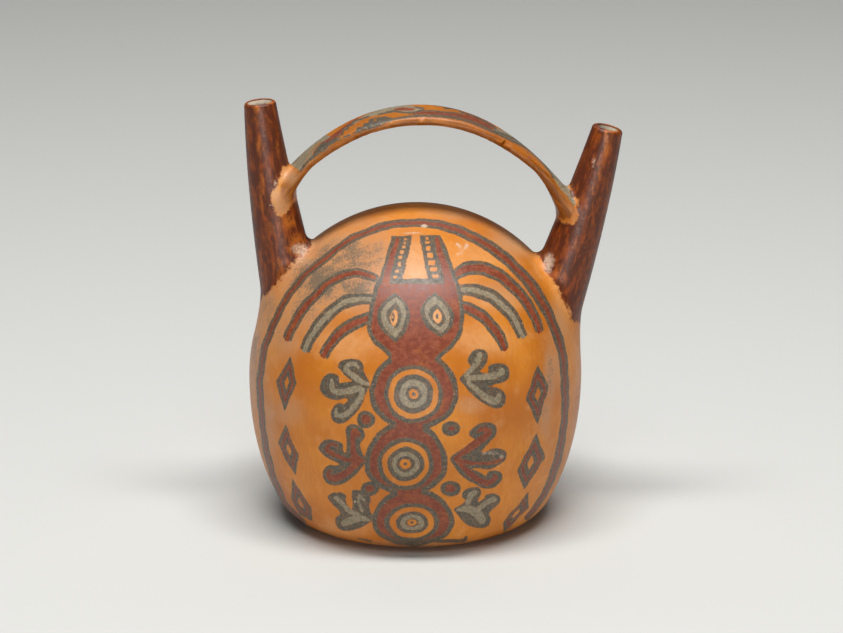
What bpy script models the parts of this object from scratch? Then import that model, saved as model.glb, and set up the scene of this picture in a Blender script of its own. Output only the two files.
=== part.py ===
"""A double-spout vessel of fired clay, hollow and empty, standing on its own flattened base.

Metres, +Z up. The origin is the middle of the base, where the vessel meets what it stands on. +X is to the
right of someone who faces the painted front, and the front looks towards -Y. The vessel is one solid: a
round body, two tapering spouts that open into it, and a flat strap that bridges the spouts.
"""

import math

import bmesh
import bpy
from mathutils import Vector

# The body: a turned egg, a little shallower from front to back than it is wide
BODY_WIDTH = 0.1500
BODY_DEPTH = 0.1480
BODY_HEIGHT = 0.1428
BELLY_HEIGHT = 0.0658
BASE_RADIUS = 0.0565
BASE_ROUND = 0.0180
UPPER_FULLNESS = 1.99
LOWER_FULLNESS = 2.17
BODY_LEAN = 0.007
BODY_WALL = 0.0050
FLOOR_WALL = 0.0065

# The spouts. Each foot lies inside the body, at shares of the body's half width and of its height. The point
# that the axis bends towards, the rim, and the place where the bridge meets the spout are across and up from it.
LEFT_SPOUT = {
    "foot_out": -0.6947,
    "foot_up": 0.5798,
    "to_bend": (-0.0128, 0.0660),
    "to_rim": (-0.0165, 0.1087),
    "to_bridge": (-0.0064, 0.0747),
    "foot_radius": 0.0143,
    "rim_radius": 0.0070,
    "mouth_radius": 0.0058,
    "lip_wall": 0.0021,
    "foot_wall": 0.0046,
    "fillet": 0.0058,
}
RIGHT_SPOUT = {
    "foot_out": 0.7427,
    "foot_up": 0.5658,
    "to_bend": (0.0202, 0.0590),
    "to_rim": (0.0296, 0.0990),
    "to_bridge": (0.0098, 0.0730),
    "foot_radius": 0.0148,
    "rim_radius": 0.0068,
    "mouth_radius": 0.0048,
    "lip_wall": 0.0024,
    "foot_wall": 0.0046,
    "fillet": 0.0062,
}
LIP_ROUND = 0.0012
MOUTH_FLARE_DEPTH = 0.0020
FILLET_SINKS_IN = 0.0003

# The bridge: an arched strap whose ends sink into the spouts, rising above where it meets the left one
BRIDGE_RISE = 0.0300
BRIDGE_CREST_SHARE = 0.496
BRIDGE_WIDTH = 0.0250
BRIDGE_END_WIDTH = 0.0180
BRIDGE_THICKNESS = 0.0041
BRIDGE_SINKS_IN = 0.0060
BRIDGE_LEFT_ARCH_POWER = 2.15
BRIDGE_RIGHT_ARCH_POWER = 2.08
BRIDGE_NARROWS_LATE = 4
BRIDGE_END_FLARE = 0.0058
BRIDGE_FLARE_LENGTH = 0.0170
BRIDGE_FLARE_POWER = 1.4
BRIDGE_LEFT_ROLL = math.radians(1.0)
BRIDGE_RIGHT_ROLL = math.radians(-7.0)

# How finely each round shape is divided, and the small steps that slopes and searches take
BODY_SIDES = 60
CAVITY_SIDES = 32
SPOUT_SIDES = 32
BORE_SIDES = 16
UPPER_RINGS = 14
LOWER_RINGS = 10
BASE_EDGE_RINGS = 6
FILLET_RINGS = 6
STEM_RINGS = 7
LIP_RINGS = 2
BORE_RINGS = 10
STRAP_RINGS = 30
STRAP_EDGE_STEPS = 6
CROWN_RADIUS = 0.0015
SMALL_STEP = 0.0001
BALL_SEARCH_ENDS = 0.00001


def clear_scene():
    for old in list(bpy.data.objects):
        bpy.data.objects.remove(old, do_unlink=True)


def clay(name, colour, roughness):
    """A burnished clay slip, as a plain Principled BSDF."""
    material = bpy.data.materials.new(name)
    material.use_nodes = True
    shader = material.node_tree.nodes["Principled BSDF"]
    shader.inputs["Base Color"].default_value = (*colour, 1.0)
    shader.inputs["Roughness"].default_value = roughness
    shader.inputs["Metallic"].default_value = 0.0
    material.diffuse_color = (*colour, 1.0)
    return material


def mix(low, high, share):
    return low + (high - low) * share


def lofted(name, rings, material):
    """A closed mesh through rings of points, each as many, with a point in the middle of each end."""
    mesh = bpy.data.meshes.new(name)
    shape = bmesh.new()
    rows = [[shape.verts.new(point) for point in ring] for ring in rings]
    sides = len(rows[0])
    for low, high in zip(rows, rows[1:]):
        for k in range(sides):
            after = (k + 1) % sides
            shape.faces.new((low[k], low[after], high[after], high[k]))
    for row, turn in ((rows[0], 1), (rows[-1], 0)):
        middle = shape.verts.new(sum((v.co for v in row), Vector()) / sides)
        for k in range(sides):
            pair = (row[(k + turn) % sides], row[(k + 1 - turn) % sides])
            shape.faces.new((*pair, middle))
    bmesh.ops.recalc_face_normals(shape, faces=shape.faces)
    shape.to_mesh(mesh)
    shape.free()
    mesh.materials.append(material)
    made = bpy.data.objects.new(name, mesh)
    bpy.context.scene.collection.objects.link(made)
    return made


def body_profile(wall, floor):
    """Radius and height of the body's outline, base first, set in from the outside by a wall and a floor."""
    radius = BODY_WIDTH / 2
    share = (BASE_RADIUS / radius) ** LOWER_FULLNESS
    reach_down = BELLY_HEIGHT / (1 - share) ** (1 / LOWER_FULLNESS) - wall
    reach_up = BODY_HEIGHT - BELLY_HEIGHT - wall
    radius -= wall

    def lower(height):
        down = (BELLY_HEIGHT - height) / reach_down
        return radius * (1 - down**LOWER_FULLNESS) ** (1 / LOWER_FULLNESS)

    # The round edge is that of a ball which rests on the floor and touches the side, at the height searched for
    low, high = floor, BELLY_HEIGHT
    while high - low > BALL_SEARCH_ENDS:
        touch = (low + high) / 2
        lean = math.atan2(SMALL_STEP, lower(touch + SMALL_STEP) - lower(touch))
        if touch + BASE_ROUND * math.cos(lean) > floor + BASE_ROUND:
            high = touch
        else:
            low = touch
    middle = lower(touch) - BASE_ROUND * math.sin(lean)
    points = []
    for k in range(BASE_EDGE_RINGS + 1):
        turn = lean * k / BASE_EDGE_RINGS
        out = middle + BASE_ROUND * math.sin(turn)
        points.append((out, floor + BASE_ROUND * (1 - math.cos(turn))))
    first_angle = math.asin((BELLY_HEIGHT - points[-1][1]) / reach_down)
    for k in range(1, LOWER_RINGS + 1):
        angle = first_angle * (1 - k / LOWER_RINGS)
        height = BELLY_HEIGHT - reach_down * math.sin(angle)
        points.append((lower(height), height))
    for k in range(1, UPPER_RINGS):
        angle = math.pi / 2 * k / UPPER_RINGS
        out = radius * math.cos(angle) ** (2 / UPPER_FULLNESS)
        up = reach_up * math.sin(angle) ** (2 / UPPER_FULLNESS)
        points.append((out, BELLY_HEIGHT + up))
    points.append((CROWN_RADIUS, BELLY_HEIGHT + reach_up))
    return points


def body_shape(name, wall, floor, sides, material):
    """The body, or the hollow inside it when a wall and a floor are given."""
    depth_share = (BODY_DEPTH / 2 - wall) / (BODY_WIDTH / 2 - wall)
    rings = []
    for radius, height in body_profile(wall, floor):
        ring = []
        for k in range(sides):
            angle = 2 * math.pi * k / sides
            x = radius * math.cos(angle) + BODY_LEAN * (height - BELLY_HEIGHT)
            ring.append((x, radius * depth_share * math.sin(angle), height))
        rings.append(ring)
    return lofted(name, rings, material)


def spout_place(spout, offset):
    """A place in the plane through both spouts, at an offset across and up from a spout's foot."""
    across, up = offset
    x = spout["foot_out"] * BODY_WIDTH / 2 + across
    return Vector((x, 0.0, spout["foot_up"] * BODY_HEIGHT + up))


def spout_axis(spout, share):
    """A point on a spout's axis and the way the axis runs there, from its foot at 0 to its rim at 1."""
    foot = spout_place(spout, (0.0, 0.0))
    bend = spout_place(spout, spout["to_bend"])
    rim = spout_place(spout, spout["to_rim"])
    at = foot * (1 - share) ** 2 + bend * 2 * share * (1 - share) + rim * share**2
    way = (bend - foot) * (1 - share) + (rim - bend) * share
    return at, way.normalized()


def spout_radius(spout, share):
    return mix(spout["foot_radius"], spout["rim_radius"], share)


def outward_at(way, turn):
    """The direction straight out from an axis that runs a given way, turned round it from +X towards +Y."""
    across = Vector((0.0, 1.0, 0.0))
    return across.cross(way) * math.cos(turn) + across * math.sin(turn)


def ring_around(centre, way, radius, sides):
    return [centre + outward_at(way, 2 * math.pi * k / sides) * radius for k in range(sides)]


def body_gap(point):
    """How far a point is outside the body's shoulder, less than 0 inside it, measured from the body's middle."""
    x = point.x - BODY_LEAN * (point.z - BELLY_HEIGHT)
    out = math.hypot(x, point.y * BODY_WIDTH / BODY_DEPTH) / (BODY_WIDTH / 2)
    up = max(0.0, point.z - BELLY_HEIGHT) / (BODY_HEIGHT - BELLY_HEIGHT)
    reach = (out**UPPER_FULLNESS + up**UPPER_FULLNESS) ** (1 / UPPER_FULLNESS)
    return Vector((x, point.y, point.z - BELLY_HEIGHT)).length * (1 - 1 / reach)


def body_facing(point):
    """The direction straight out of the body's shoulder near a point."""
    steps = [Vector((SMALL_STEP, 0, 0)), Vector((0, SMALL_STEP, 0)), Vector((0, 0, SMALL_STEP))]
    return Vector([body_gap(point + step) - body_gap(point - step) for step in steps]).normalized()


def fillet_ball(spout, turn):
    """Where a ball rests in the corner between a spout's side and the shoulder, and its share of the axis."""
    low, high = 0.0, 1.0
    while high - low > BALL_SEARCH_ENDS:
        share = (low + high) / 2
        at, way = spout_axis(spout, share)
        centre = at + outward_at(way, turn) * (spout_radius(spout, share) + spout["fillet"])
        if body_gap(centre) > spout["fillet"] - FILLET_SINKS_IN:
            high = share
        else:
            low = share
    return centre, share


def spout_side(spout, turn):
    """Points up one side of a spout, from its foot inside the body through its fillet to just below its lip."""
    foot, way = spout_axis(spout, 0.0)
    points = [foot + outward_at(way, turn) * spout["foot_radius"]]
    centre, starts = fillet_ball(spout, turn)
    down = -body_facing(centre)
    points.append(centre + down * (spout["fillet"] + BODY_WALL / 2))
    towards_spout = -outward_at(spout_axis(spout, starts)[1], turn)
    for k in range(FILLET_RINGS + 1):
        points.append(centre + down.slerp(towards_spout, k / FILLET_RINGS) * spout["fillet"])
    for k in range(1, STEM_RINGS):
        share = mix(starts, 1.0, k / STEM_RINGS)
        at, way = spout_axis(spout, share)
        points.append(at + outward_at(way, turn) * spout_radius(spout, share))
    return points


def spout_shape(name, spout, material):
    """A spout's outside, with a fillet all round its foot, where it grows out of the shoulder."""
    sides = [spout_side(spout, 2 * math.pi * k / SPOUT_SIDES) for k in range(SPOUT_SIDES)]
    rings = [list(ring) for ring in zip(*sides)]
    rim, way = spout_axis(spout, 1.0)
    for k in range(LIP_RINGS + 1):
        angle = math.pi / 2 * k / LIP_RINGS
        down = LIP_ROUND * (1 - math.sin(angle))
        narrower = LIP_ROUND * (1 - math.cos(angle))
        rings.append(ring_around(rim - way * down, way, spout["rim_radius"] - narrower, SPOUT_SIDES))
    return lofted(name, rings, material)


def bore_shape(name, spout, material):
    """The channel down a spout, flared at its mouth, from above the rim to well inside the body's hollow."""
    rings = []
    for k in range(BORE_RINGS):
        share = k / BORE_RINGS
        at, way = spout_axis(spout, share)
        wall = mix(spout["foot_wall"], spout["lip_wall"], share)
        rings.append(ring_around(at, way, spout_radius(spout, share) - wall, BORE_SIDES))
    rim, way = spout_axis(spout, 1.0)
    narrow = spout["rim_radius"] - spout["lip_wall"]
    widening = spout["mouth_radius"] - narrow
    for rise in (-1, 0, 1):
        radius = spout["mouth_radius"] + widening * rise
        rings.append(ring_around(rim + way * (MOUTH_FLARE_DEPTH * rise), way, radius, BORE_SIDES))
    return lofted(name, rings, material)


def bridge_crest():
    left = spout_place(LEFT_SPOUT, LEFT_SPOUT["to_bridge"])
    right = spout_place(RIGHT_SPOUT, RIGHT_SPOUT["to_bridge"])
    return Vector((mix(left.x, right.x, BRIDGE_CREST_SHARE), 0.0, left.z + BRIDGE_RISE))


def bridge_line(x):
    """Height of the strap's top at a place across the vessel, falling away on both sides of its crest."""
    crest = bridge_crest()
    spout = LEFT_SPOUT if x < crest.x else RIGHT_SPOUT
    power = BRIDGE_LEFT_ARCH_POWER if x < crest.x else BRIDGE_RIGHT_ARCH_POWER
    meets = spout_place(spout, spout["to_bridge"])
    share = abs(x - crest.x) / abs(meets.x - crest.x)
    return crest.z - (crest.z - meets.z) * share**power


def strap_section(width, thickness):
    """A flat strap's cross-section with fully rounded edges: sideways and upward places, the top at 0."""
    half = thickness / 2
    flat = width / 2 - half
    points = []
    for side in (1, -1):
        for k in range(STRAP_EDGE_STEPS + 1):
            angle = math.pi / 2 - math.pi * k / STRAP_EDGE_STEPS
            points.append((side * (flat + half * math.cos(angle)), side * half * math.sin(angle) - half))
    return points


def bridge_shape(name, material):
    """The strap, swept along its arch. It narrows and thickens at both ends, where it grows into the spouts."""
    crest = bridge_crest().x
    first = spout_place(LEFT_SPOUT, LEFT_SPOUT["to_bridge"]).x - BRIDGE_SINKS_IN
    last = spout_place(RIGHT_SPOUT, RIGHT_SPOUT["to_bridge"]).x + BRIDGE_SINKS_IN
    rings = []
    for k in range(STRAP_RINGS + 1):
        x = mix(first, last, k / STRAP_RINGS)
        on_left = x < crest
        slope = (bridge_line(x + SMALL_STEP) - bridge_line(x - SMALL_STEP)) / (2 * SMALL_STEP)
        way = Vector((1.0, 0.0, slope)).normalized()
        up = Vector((-way.z, 0.0, way.x))
        out = (x - crest) / ((first if on_left else last) - crest)
        roll = out * (BRIDGE_LEFT_ROLL if on_left else BRIDGE_RIGHT_ROLL)
        near_end = max(0.0, 1 - min(x - first, last - x) / BRIDGE_FLARE_LENGTH)
        thickness = BRIDGE_THICKNESS + BRIDGE_END_FLARE * near_end**BRIDGE_FLARE_POWER
        width = mix(BRIDGE_WIDTH, BRIDGE_END_WIDTH, out**BRIDGE_NARROWS_LATE)
        top = Vector((x, 0.0, bridge_line(x)))
        ring = []
        for sideways, upward in strap_section(width, thickness):
            y = sideways * math.cos(roll) - upward * math.sin(roll)
            rise = sideways * math.sin(roll) + upward * math.cos(roll)
            ring.append(top + Vector((0.0, y, 0.0)) + up * rise)
        rings.append(ring)
    return lofted(name, rings, material)


def boolean(target, cutter, operation):
    """Joins a shape to the target, or cuts it out, as a modifier whose helper object isn't shown."""
    modifier = target.modifiers.new(cutter.name, "BOOLEAN")
    modifier.operation = operation
    modifier.solver = "EXACT"
    modifier.material_mode = "TRANSFER"
    modifier.object = cutter
    cutter.hide_render = True
    cutter.display_type = "WIRE"


def main():
    clear_scene()
    orange = clay("orange_slip", (0.55, 0.22, 0.06), 0.38)
    red_brown = clay("red_brown_slip", (0.16, 0.04, 0.02), 0.36)
    bare = clay("bare_clay", (0.62, 0.50, 0.38), 0.85)

    vessel = body_shape("vessel", 0.0, 0.0, BODY_SIDES, orange)
    boolean(vessel, spout_shape("left_spout_outside", LEFT_SPOUT, red_brown), "UNION")
    boolean(vessel, spout_shape("right_spout_outside", RIGHT_SPOUT, red_brown), "UNION")
    boolean(vessel, bridge_shape("bridge_strap", orange), "UNION")
    boolean(vessel, body_shape("body_hollow", BODY_WALL, FLOOR_WALL, CAVITY_SIDES, bare), "DIFFERENCE")
    boolean(vessel, bore_shape("left_bore", LEFT_SPOUT, bare), "DIFFERENCE")
    boolean(vessel, bore_shape("right_bore", RIGHT_SPOUT, bare), "DIFFERENCE")
    vessel.data.shade_smooth()
    vessel.data.set_sharp_from_angle(angle=math.radians(40))


main()
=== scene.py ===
"""The looks of a double-spout vessel of fired clay, painted with coloured slips and burnished.

Metres, +Z up, with the painted front towards -Y, as in the CAD model. One mesh stands for the whole vessel:
the same form made finer, with every corner between body, spouts and bridge rounded. The slips are laid out
on a flat drawing, the vessel as the camera sees it, and thrown from there on to the clay. Each point of the
mesh keeps its distances to the edges of the slips, and the shader turns them into slips with crisp edges.
"""

import math

import bmesh
import bpy
import numpy as np
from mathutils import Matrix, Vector


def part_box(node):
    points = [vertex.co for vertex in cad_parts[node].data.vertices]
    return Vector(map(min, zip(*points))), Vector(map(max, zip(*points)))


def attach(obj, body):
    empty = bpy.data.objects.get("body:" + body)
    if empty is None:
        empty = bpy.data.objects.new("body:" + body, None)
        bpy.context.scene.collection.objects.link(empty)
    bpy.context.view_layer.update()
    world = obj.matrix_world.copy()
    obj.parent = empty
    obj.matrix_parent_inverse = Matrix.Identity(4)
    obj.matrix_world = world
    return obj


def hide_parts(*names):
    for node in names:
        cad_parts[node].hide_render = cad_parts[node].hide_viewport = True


# The vessel's dimensions, in metres, which are the CAD model's
BODY_WIDTH = 0.1500
BODY_DEPTH = 0.1480
BODY_HEIGHT = 0.1428
BELLY_HEIGHT = 0.0658
BASE_RADIUS = 0.0565
BASE_ROUND = 0.0180
UPPER_FULLNESS = 1.99
LOWER_FULLNESS = 2.17
BODY_LEAN = 0.007
BODY_WALL = 0.0050
FLOOR_WALL = 0.0065
LEFT_SPOUT = {
    "foot": (-0.0521, 0.0, 0.0828),
    "bend": (-0.0649, 0.0, 0.1488),
    "rim": (-0.0686, 0.0, 0.1915),
    "bridge": (-0.0585, 0.0, 0.1575),
    "foot_radius": 0.0143,
    "rim_radius": 0.0070,
    "mouth_radius": 0.0058,
    "lip_wall": 0.0021,
    "foot_wall": 0.0046,
    "fillet": 0.0058,
}
RIGHT_SPOUT = {
    "foot": (0.0557, 0.0, 0.0808),
    "bend": (0.0759, 0.0, 0.1398),
    "rim": (0.0853, 0.0, 0.1798),
    "bridge": (0.0655, 0.0, 0.1538),
    "foot_radius": 0.0148,
    "rim_radius": 0.0068,
    "mouth_radius": 0.0048,
    "lip_wall": 0.0024,
    "foot_wall": 0.0046,
    "fillet": 0.0062,
}
LIP_ROUND = 0.0012
MOUTH_FLARE_DEPTH = 0.0020
BRIDGE_CREST = (0.0030, 0.0, 0.1875)
BRIDGE_WIDTH = 0.0250
BRIDGE_END_WIDTH = 0.0180
BRIDGE_THICKNESS = 0.0041
BRIDGE_SINKS_IN = 0.0060
BRIDGE_LEFT_ARCH_POWER = 2.15
BRIDGE_RIGHT_ARCH_POWER = 2.08
BRIDGE_NARROWS_LATE = 4
BRIDGE_END_FLARE = 0.0058
BRIDGE_FLARE_LENGTH = 0.0170
BRIDGE_FLARE_POWER = 1.4
BRIDGE_LEFT_ROLL = math.radians(1.0)
BRIDGE_RIGHT_ROLL = math.radians(-7.0)
BRIDGE_FILLET = 0.0030

# How the mesh is made: its first steps, how points are pulled on to the surface and evened out, and where
# it is divided. Each round divides the faces within a margin, a share of the mesh's step, of a slip's edge
SKIN_STEP = 0.0028
HOLLOW_STEP = 0.0050
SMALL_STEP = 0.00001
SURFACE_STEPS = 4
LONGEST_MOVE = 0.0015
LEAST_STEEPNESS = 0.25
EVENING_ROUNDS = 4
EVENING_SHARE = 0.7
EDGE_MARGINS = (0.25, 0.03)
SECOND_ROUND_UP_TO = 0.0300
HOLLOW_FINE_ROUNDS = 3
BORE_RISES = 0.0040
RIM_ZONE = 0.0105
MOUTH_ZONE = 0.0090
SHARP_FROM = math.radians(50)

# The grain of the marks: what share of a spout's length is squeezed out of it, and what share of the
# strap's stays
SPOUT_SQUEEZED_OUT = 0.72
STRAP_GRAIN_SHARE = 0.16

# The camera, and the drawing that it sees: its points across and down, and how many make a metre there
VIEW_TARGET = (0.0028, 0.0, 0.0920)
VIEW_DISTANCE = 1.6
VIEW_ELEVATION = math.radians(17.5)
DRAWING_WIDE = 843
DRAWING_HIGH = 633
POINTS_PER_METRE = 2222
SENSOR_WIDTH = 36.0

# Distances on the drawing are in its points. FAR is where no slip is near. The hand's wobbles are waves:
# how far they move a line, their two rates and where they start
FAR = 40.0
STROKE_REACH = 8.0
CURVE_STEPS = 4
PAINTED_DOWN_TO = 0.0010
SLIPS = ("red", "grey", "dark")
HAND_WOBBLES = (
    (0.32, 0.21, 0.09, 0.4),
    (0.24, -0.13, 0.30, 1.9),
    (0.07, 0.62, 0.33, 3.1),
)

# The band round the painted front: across, down, half width
BORDER = (
    (303, 522, 2.4), (286.2, 505, 2.8), (278.7, 490, 3.2), (271.2, 470, 3.2), (265.6, 445, 3.2),
    (261.2, 412.5, 3.2), (260, 380, 3.6), (261.6, 370, 3.6), (263.7, 351, 3.7), (270, 332.5, 3.8),
    (275.6, 320, 3.8), (281.2, 307.5, 3.8), (288.7, 295, 3.8), (298.7, 282.5, 3.8), (310.6, 270, 3.8),
    (325, 259, 3.8), (338, 247.5, 3.9), (356, 237, 4), (376, 228.5, 4.1), (395, 224.2, 4.2),
    (420, 222.7, 4.4), (440, 225, 4.6), (458.7, 230.6, 5), (477.5, 239.4, 5.2), (495, 250, 5.6),
    (510, 262.5, 6), (522.5, 275, 6), (533.7, 288.7, 6), (543.7, 305, 5.8), (551.2, 320, 5.2),
    (557.5, 336, 4.7), (562.5, 355, 4.7), (564.4, 370, 4.2), (565, 400, 3.8), (563.7, 425, 3.8),
    (560, 450, 4), (555, 468.7, 3.8), (548.7, 485, 3.4), (540, 501, 3), (527, 518, 2.6),
)
BORDER_CORE = 0.38

# The figure's head: its outline, and the three joined ovals of its body with how far they reach
HEAD = (
    (391.5, 236), (386, 256), (380, 276), (374, 286), (370.6, 301), (368, 315), (367, 327.5), (368.7, 336),
    (373.7, 343.7), (380, 348.7), (387, 354.5), (393, 362), (415, 375), (437, 362), (445, 354),
    (452.5, 348.7), (458.7, 341), (463, 331), (464.4, 320), (463.7, 307.5), (462, 295), (458.7, 282.5),
    (456, 275), (452.5, 265), (446, 247.5), (440.6, 235),
)
OVALS = (
    {"centre": (414, 394), "across": 44.5, "up": 44, "down": 36, "outline": 5.6},
    {"centre": (406, 464), "across": 41.5, "up": 43, "down": 31.5, "outline": 5.6},
    {"centre": (413, 522), "across": 41, "up": 34, "down": 24, "outline": 5.2},
)
HEAD_OUTLINE = 4.6
NECKS = (
    ((413, 356, 21), (414, 362, 21)),
    ((410.5, 420, 13), (408, 438, 14)),
    ((409, 486, 11), (410, 498, 13)),
)
RINGS = (
    {"centre": (413.5, 394), "flat": 0.99, "reach": (29.5, 25.2, 20, 14.2, 7.8, 4.7, 2)},
    {"centre": (405.6, 464), "flat": 0.92, "reach": (28.3, 23.5, 18.5, 13.7, 9, 5.6, 1.9)},
    {"centre": (412, 522.5), "flat": 0.69, "reach": (27.8, 22.3, 16.3, 12, 6.8, 4.6, 1.8)},
)
RING_SLIPS = ("dark", None, "dark", "grey", "dark", None, "dark")

# The jaws: two dark bars with a gap between them, a red stripe beside each, and rows of teeth
LEFT_JAW = ((391.5, 236), (412.7, 236.5), (402.5, 281), (380, 281))
RIGHT_JAW = ((419.4, 235.6), (440.6, 235), (453.5, 272), (457.5, 281), (428, 281), (422.5, 255))
JAW_GAP = ((412.7, 235), (419.4, 235), (423, 256), (428.3, 279), (402.3, 279), (408, 257))
JAW_LINE = ((389, 281.6, 2.7), (416, 281, 2.6), (444, 281.2, 2.8))
LEFT_STRIPE = ((397.1, 239.5, 2), (393.6, 252, 2.5), (389.2, 266, 3.2), (385, 286, 4))
RIGHT_STRIPE = ((436.9, 239.5, 2.2), (441.5, 257.5, 2.9), (447.5, 276, 4.2), (450, 288, 6))
TEETH = (
    (405.6, 239, 3, 2), (404.7, 242.7, 3, 2), (403.8, 246.6, 3.5, 2.8), (402.2, 252.2, 3.7, 4),
    (400.6, 257.7, 3.7, 3.7), (399.3, 264.6, 3.2, 4.6), (397.2, 271.2, 4, 2.6), (395.6, 277.2, 4, 3),
    (426.5, 238.7, 3, 2.5), (427.2, 242.7, 4.5, 2.5), (428.2, 248.5, 5, 4), (430, 255.2, 6, 5),
    (431.9, 262.5, 6.8, 5.2), (433.9, 269.4, 6.4, 4.6), (435.6, 276.6, 6, 3.2),
)

# The eyes, each as nested leaves: the slip inside, then their top, right, bottom and left points
EYES = (
    ("dark", (395, 292), (410.6, 316), (396, 343), (376.9, 317.5)),
    ("grey", (396.5, 296.5), (406.2, 315), (395.5, 338.5), (381, 316.5)),
    ("dark", (395.4, 301.5), (401.6, 317), (395.8, 328.5), (386.4, 316.5)),
    (None, (394.6, 308.6), (398, 318), (393.5, 326.4), (389.8, 318)),
    ("dark", (393.1, 311.6), (394.8, 317.5), (392.9, 322.8), (390.9, 317.5)),
    (None, (393, 315.4), (393.8, 317), (393, 318.6), (392.2, 317)),
    ("dark", (435, 292), (453.9, 316), (440.6, 337.6), (420, 315)),
    ("grey", (434.6, 296), (449.4, 315.5), (440.8, 333.4), (424.4, 312.5)),
    ("dark", (435.6, 303.5), (445.8, 317), (439.8, 327), (428.6, 315.5)),
    (None, (437.6, 308.6), (442.2, 316.4), (438.2, 324), (432.9, 316.4)),
    ("dark", (437.5, 312.8), (439.3, 315.8), (437.5, 319.2), (435.7, 315.8)),
    (None, (437.5, 314.8), (438.1, 315.8), (437.5, 316.8), (436.9, 315.8)),
)

# The rays beside the head: the slip of the core, then across, down, half width
RAYS = (
    (
        "red", (374, 278, 4.2), (365.5, 274.5, 4.5), (355, 273.2, 4.6), (342.5, 275.5, 4.8),
        (327.5, 284.2, 5), (315, 295.6, 5), (301.9, 310.6, 5), (293, 326, 4.6), (286.8, 339.4, 4.4),
    ),
    (
        "grey", (370.5, 299.4, 5.4), (356.3, 299.5, 6.1), (342.5, 303, 6.4), (331.3, 311.8, 6.4),
        (320.6, 323, 6.2), (311.9, 335.5, 5.8), (304.4, 350.6, 5.2),
    ),
    ("red", (368, 317.5, 6), (354.4, 323.7, 6.6), (343, 330.6, 6.4), (333.7, 339.4, 6), (323, 356, 5.4)),
    (
        "red", (454.6, 276, 5.6), (463, 270, 6.4), (474, 267.5, 6.8), (487.5, 269.8, 6.8), (500, 276, 6.2),
        (511.9, 285.6, 6), (523, 297.5, 5.8), (530.6, 309, 5.4), (536, 320, 4.8), (539.4, 331.5, 4.3),
    ),
    (
        "grey", (459.5, 289.6, 4.5), (470.6, 290, 6.3), (483.7, 293, 7), (495.6, 299.4, 7),
        (506, 308.7, 6.6), (515, 320, 6), (523, 337, 5.6),
    ),
    (
        "red", (463, 306.5, 6), (472.4, 310, 6.6), (483, 317, 6.6), (493, 327.4, 6), (499.9, 337.5, 5.4),
        (505, 349, 4.6),
    ),
)
RAY_CORES = {"red": 0.46, "grey": 0.38}
RAY_CORE_SPILL = 1.2

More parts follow.
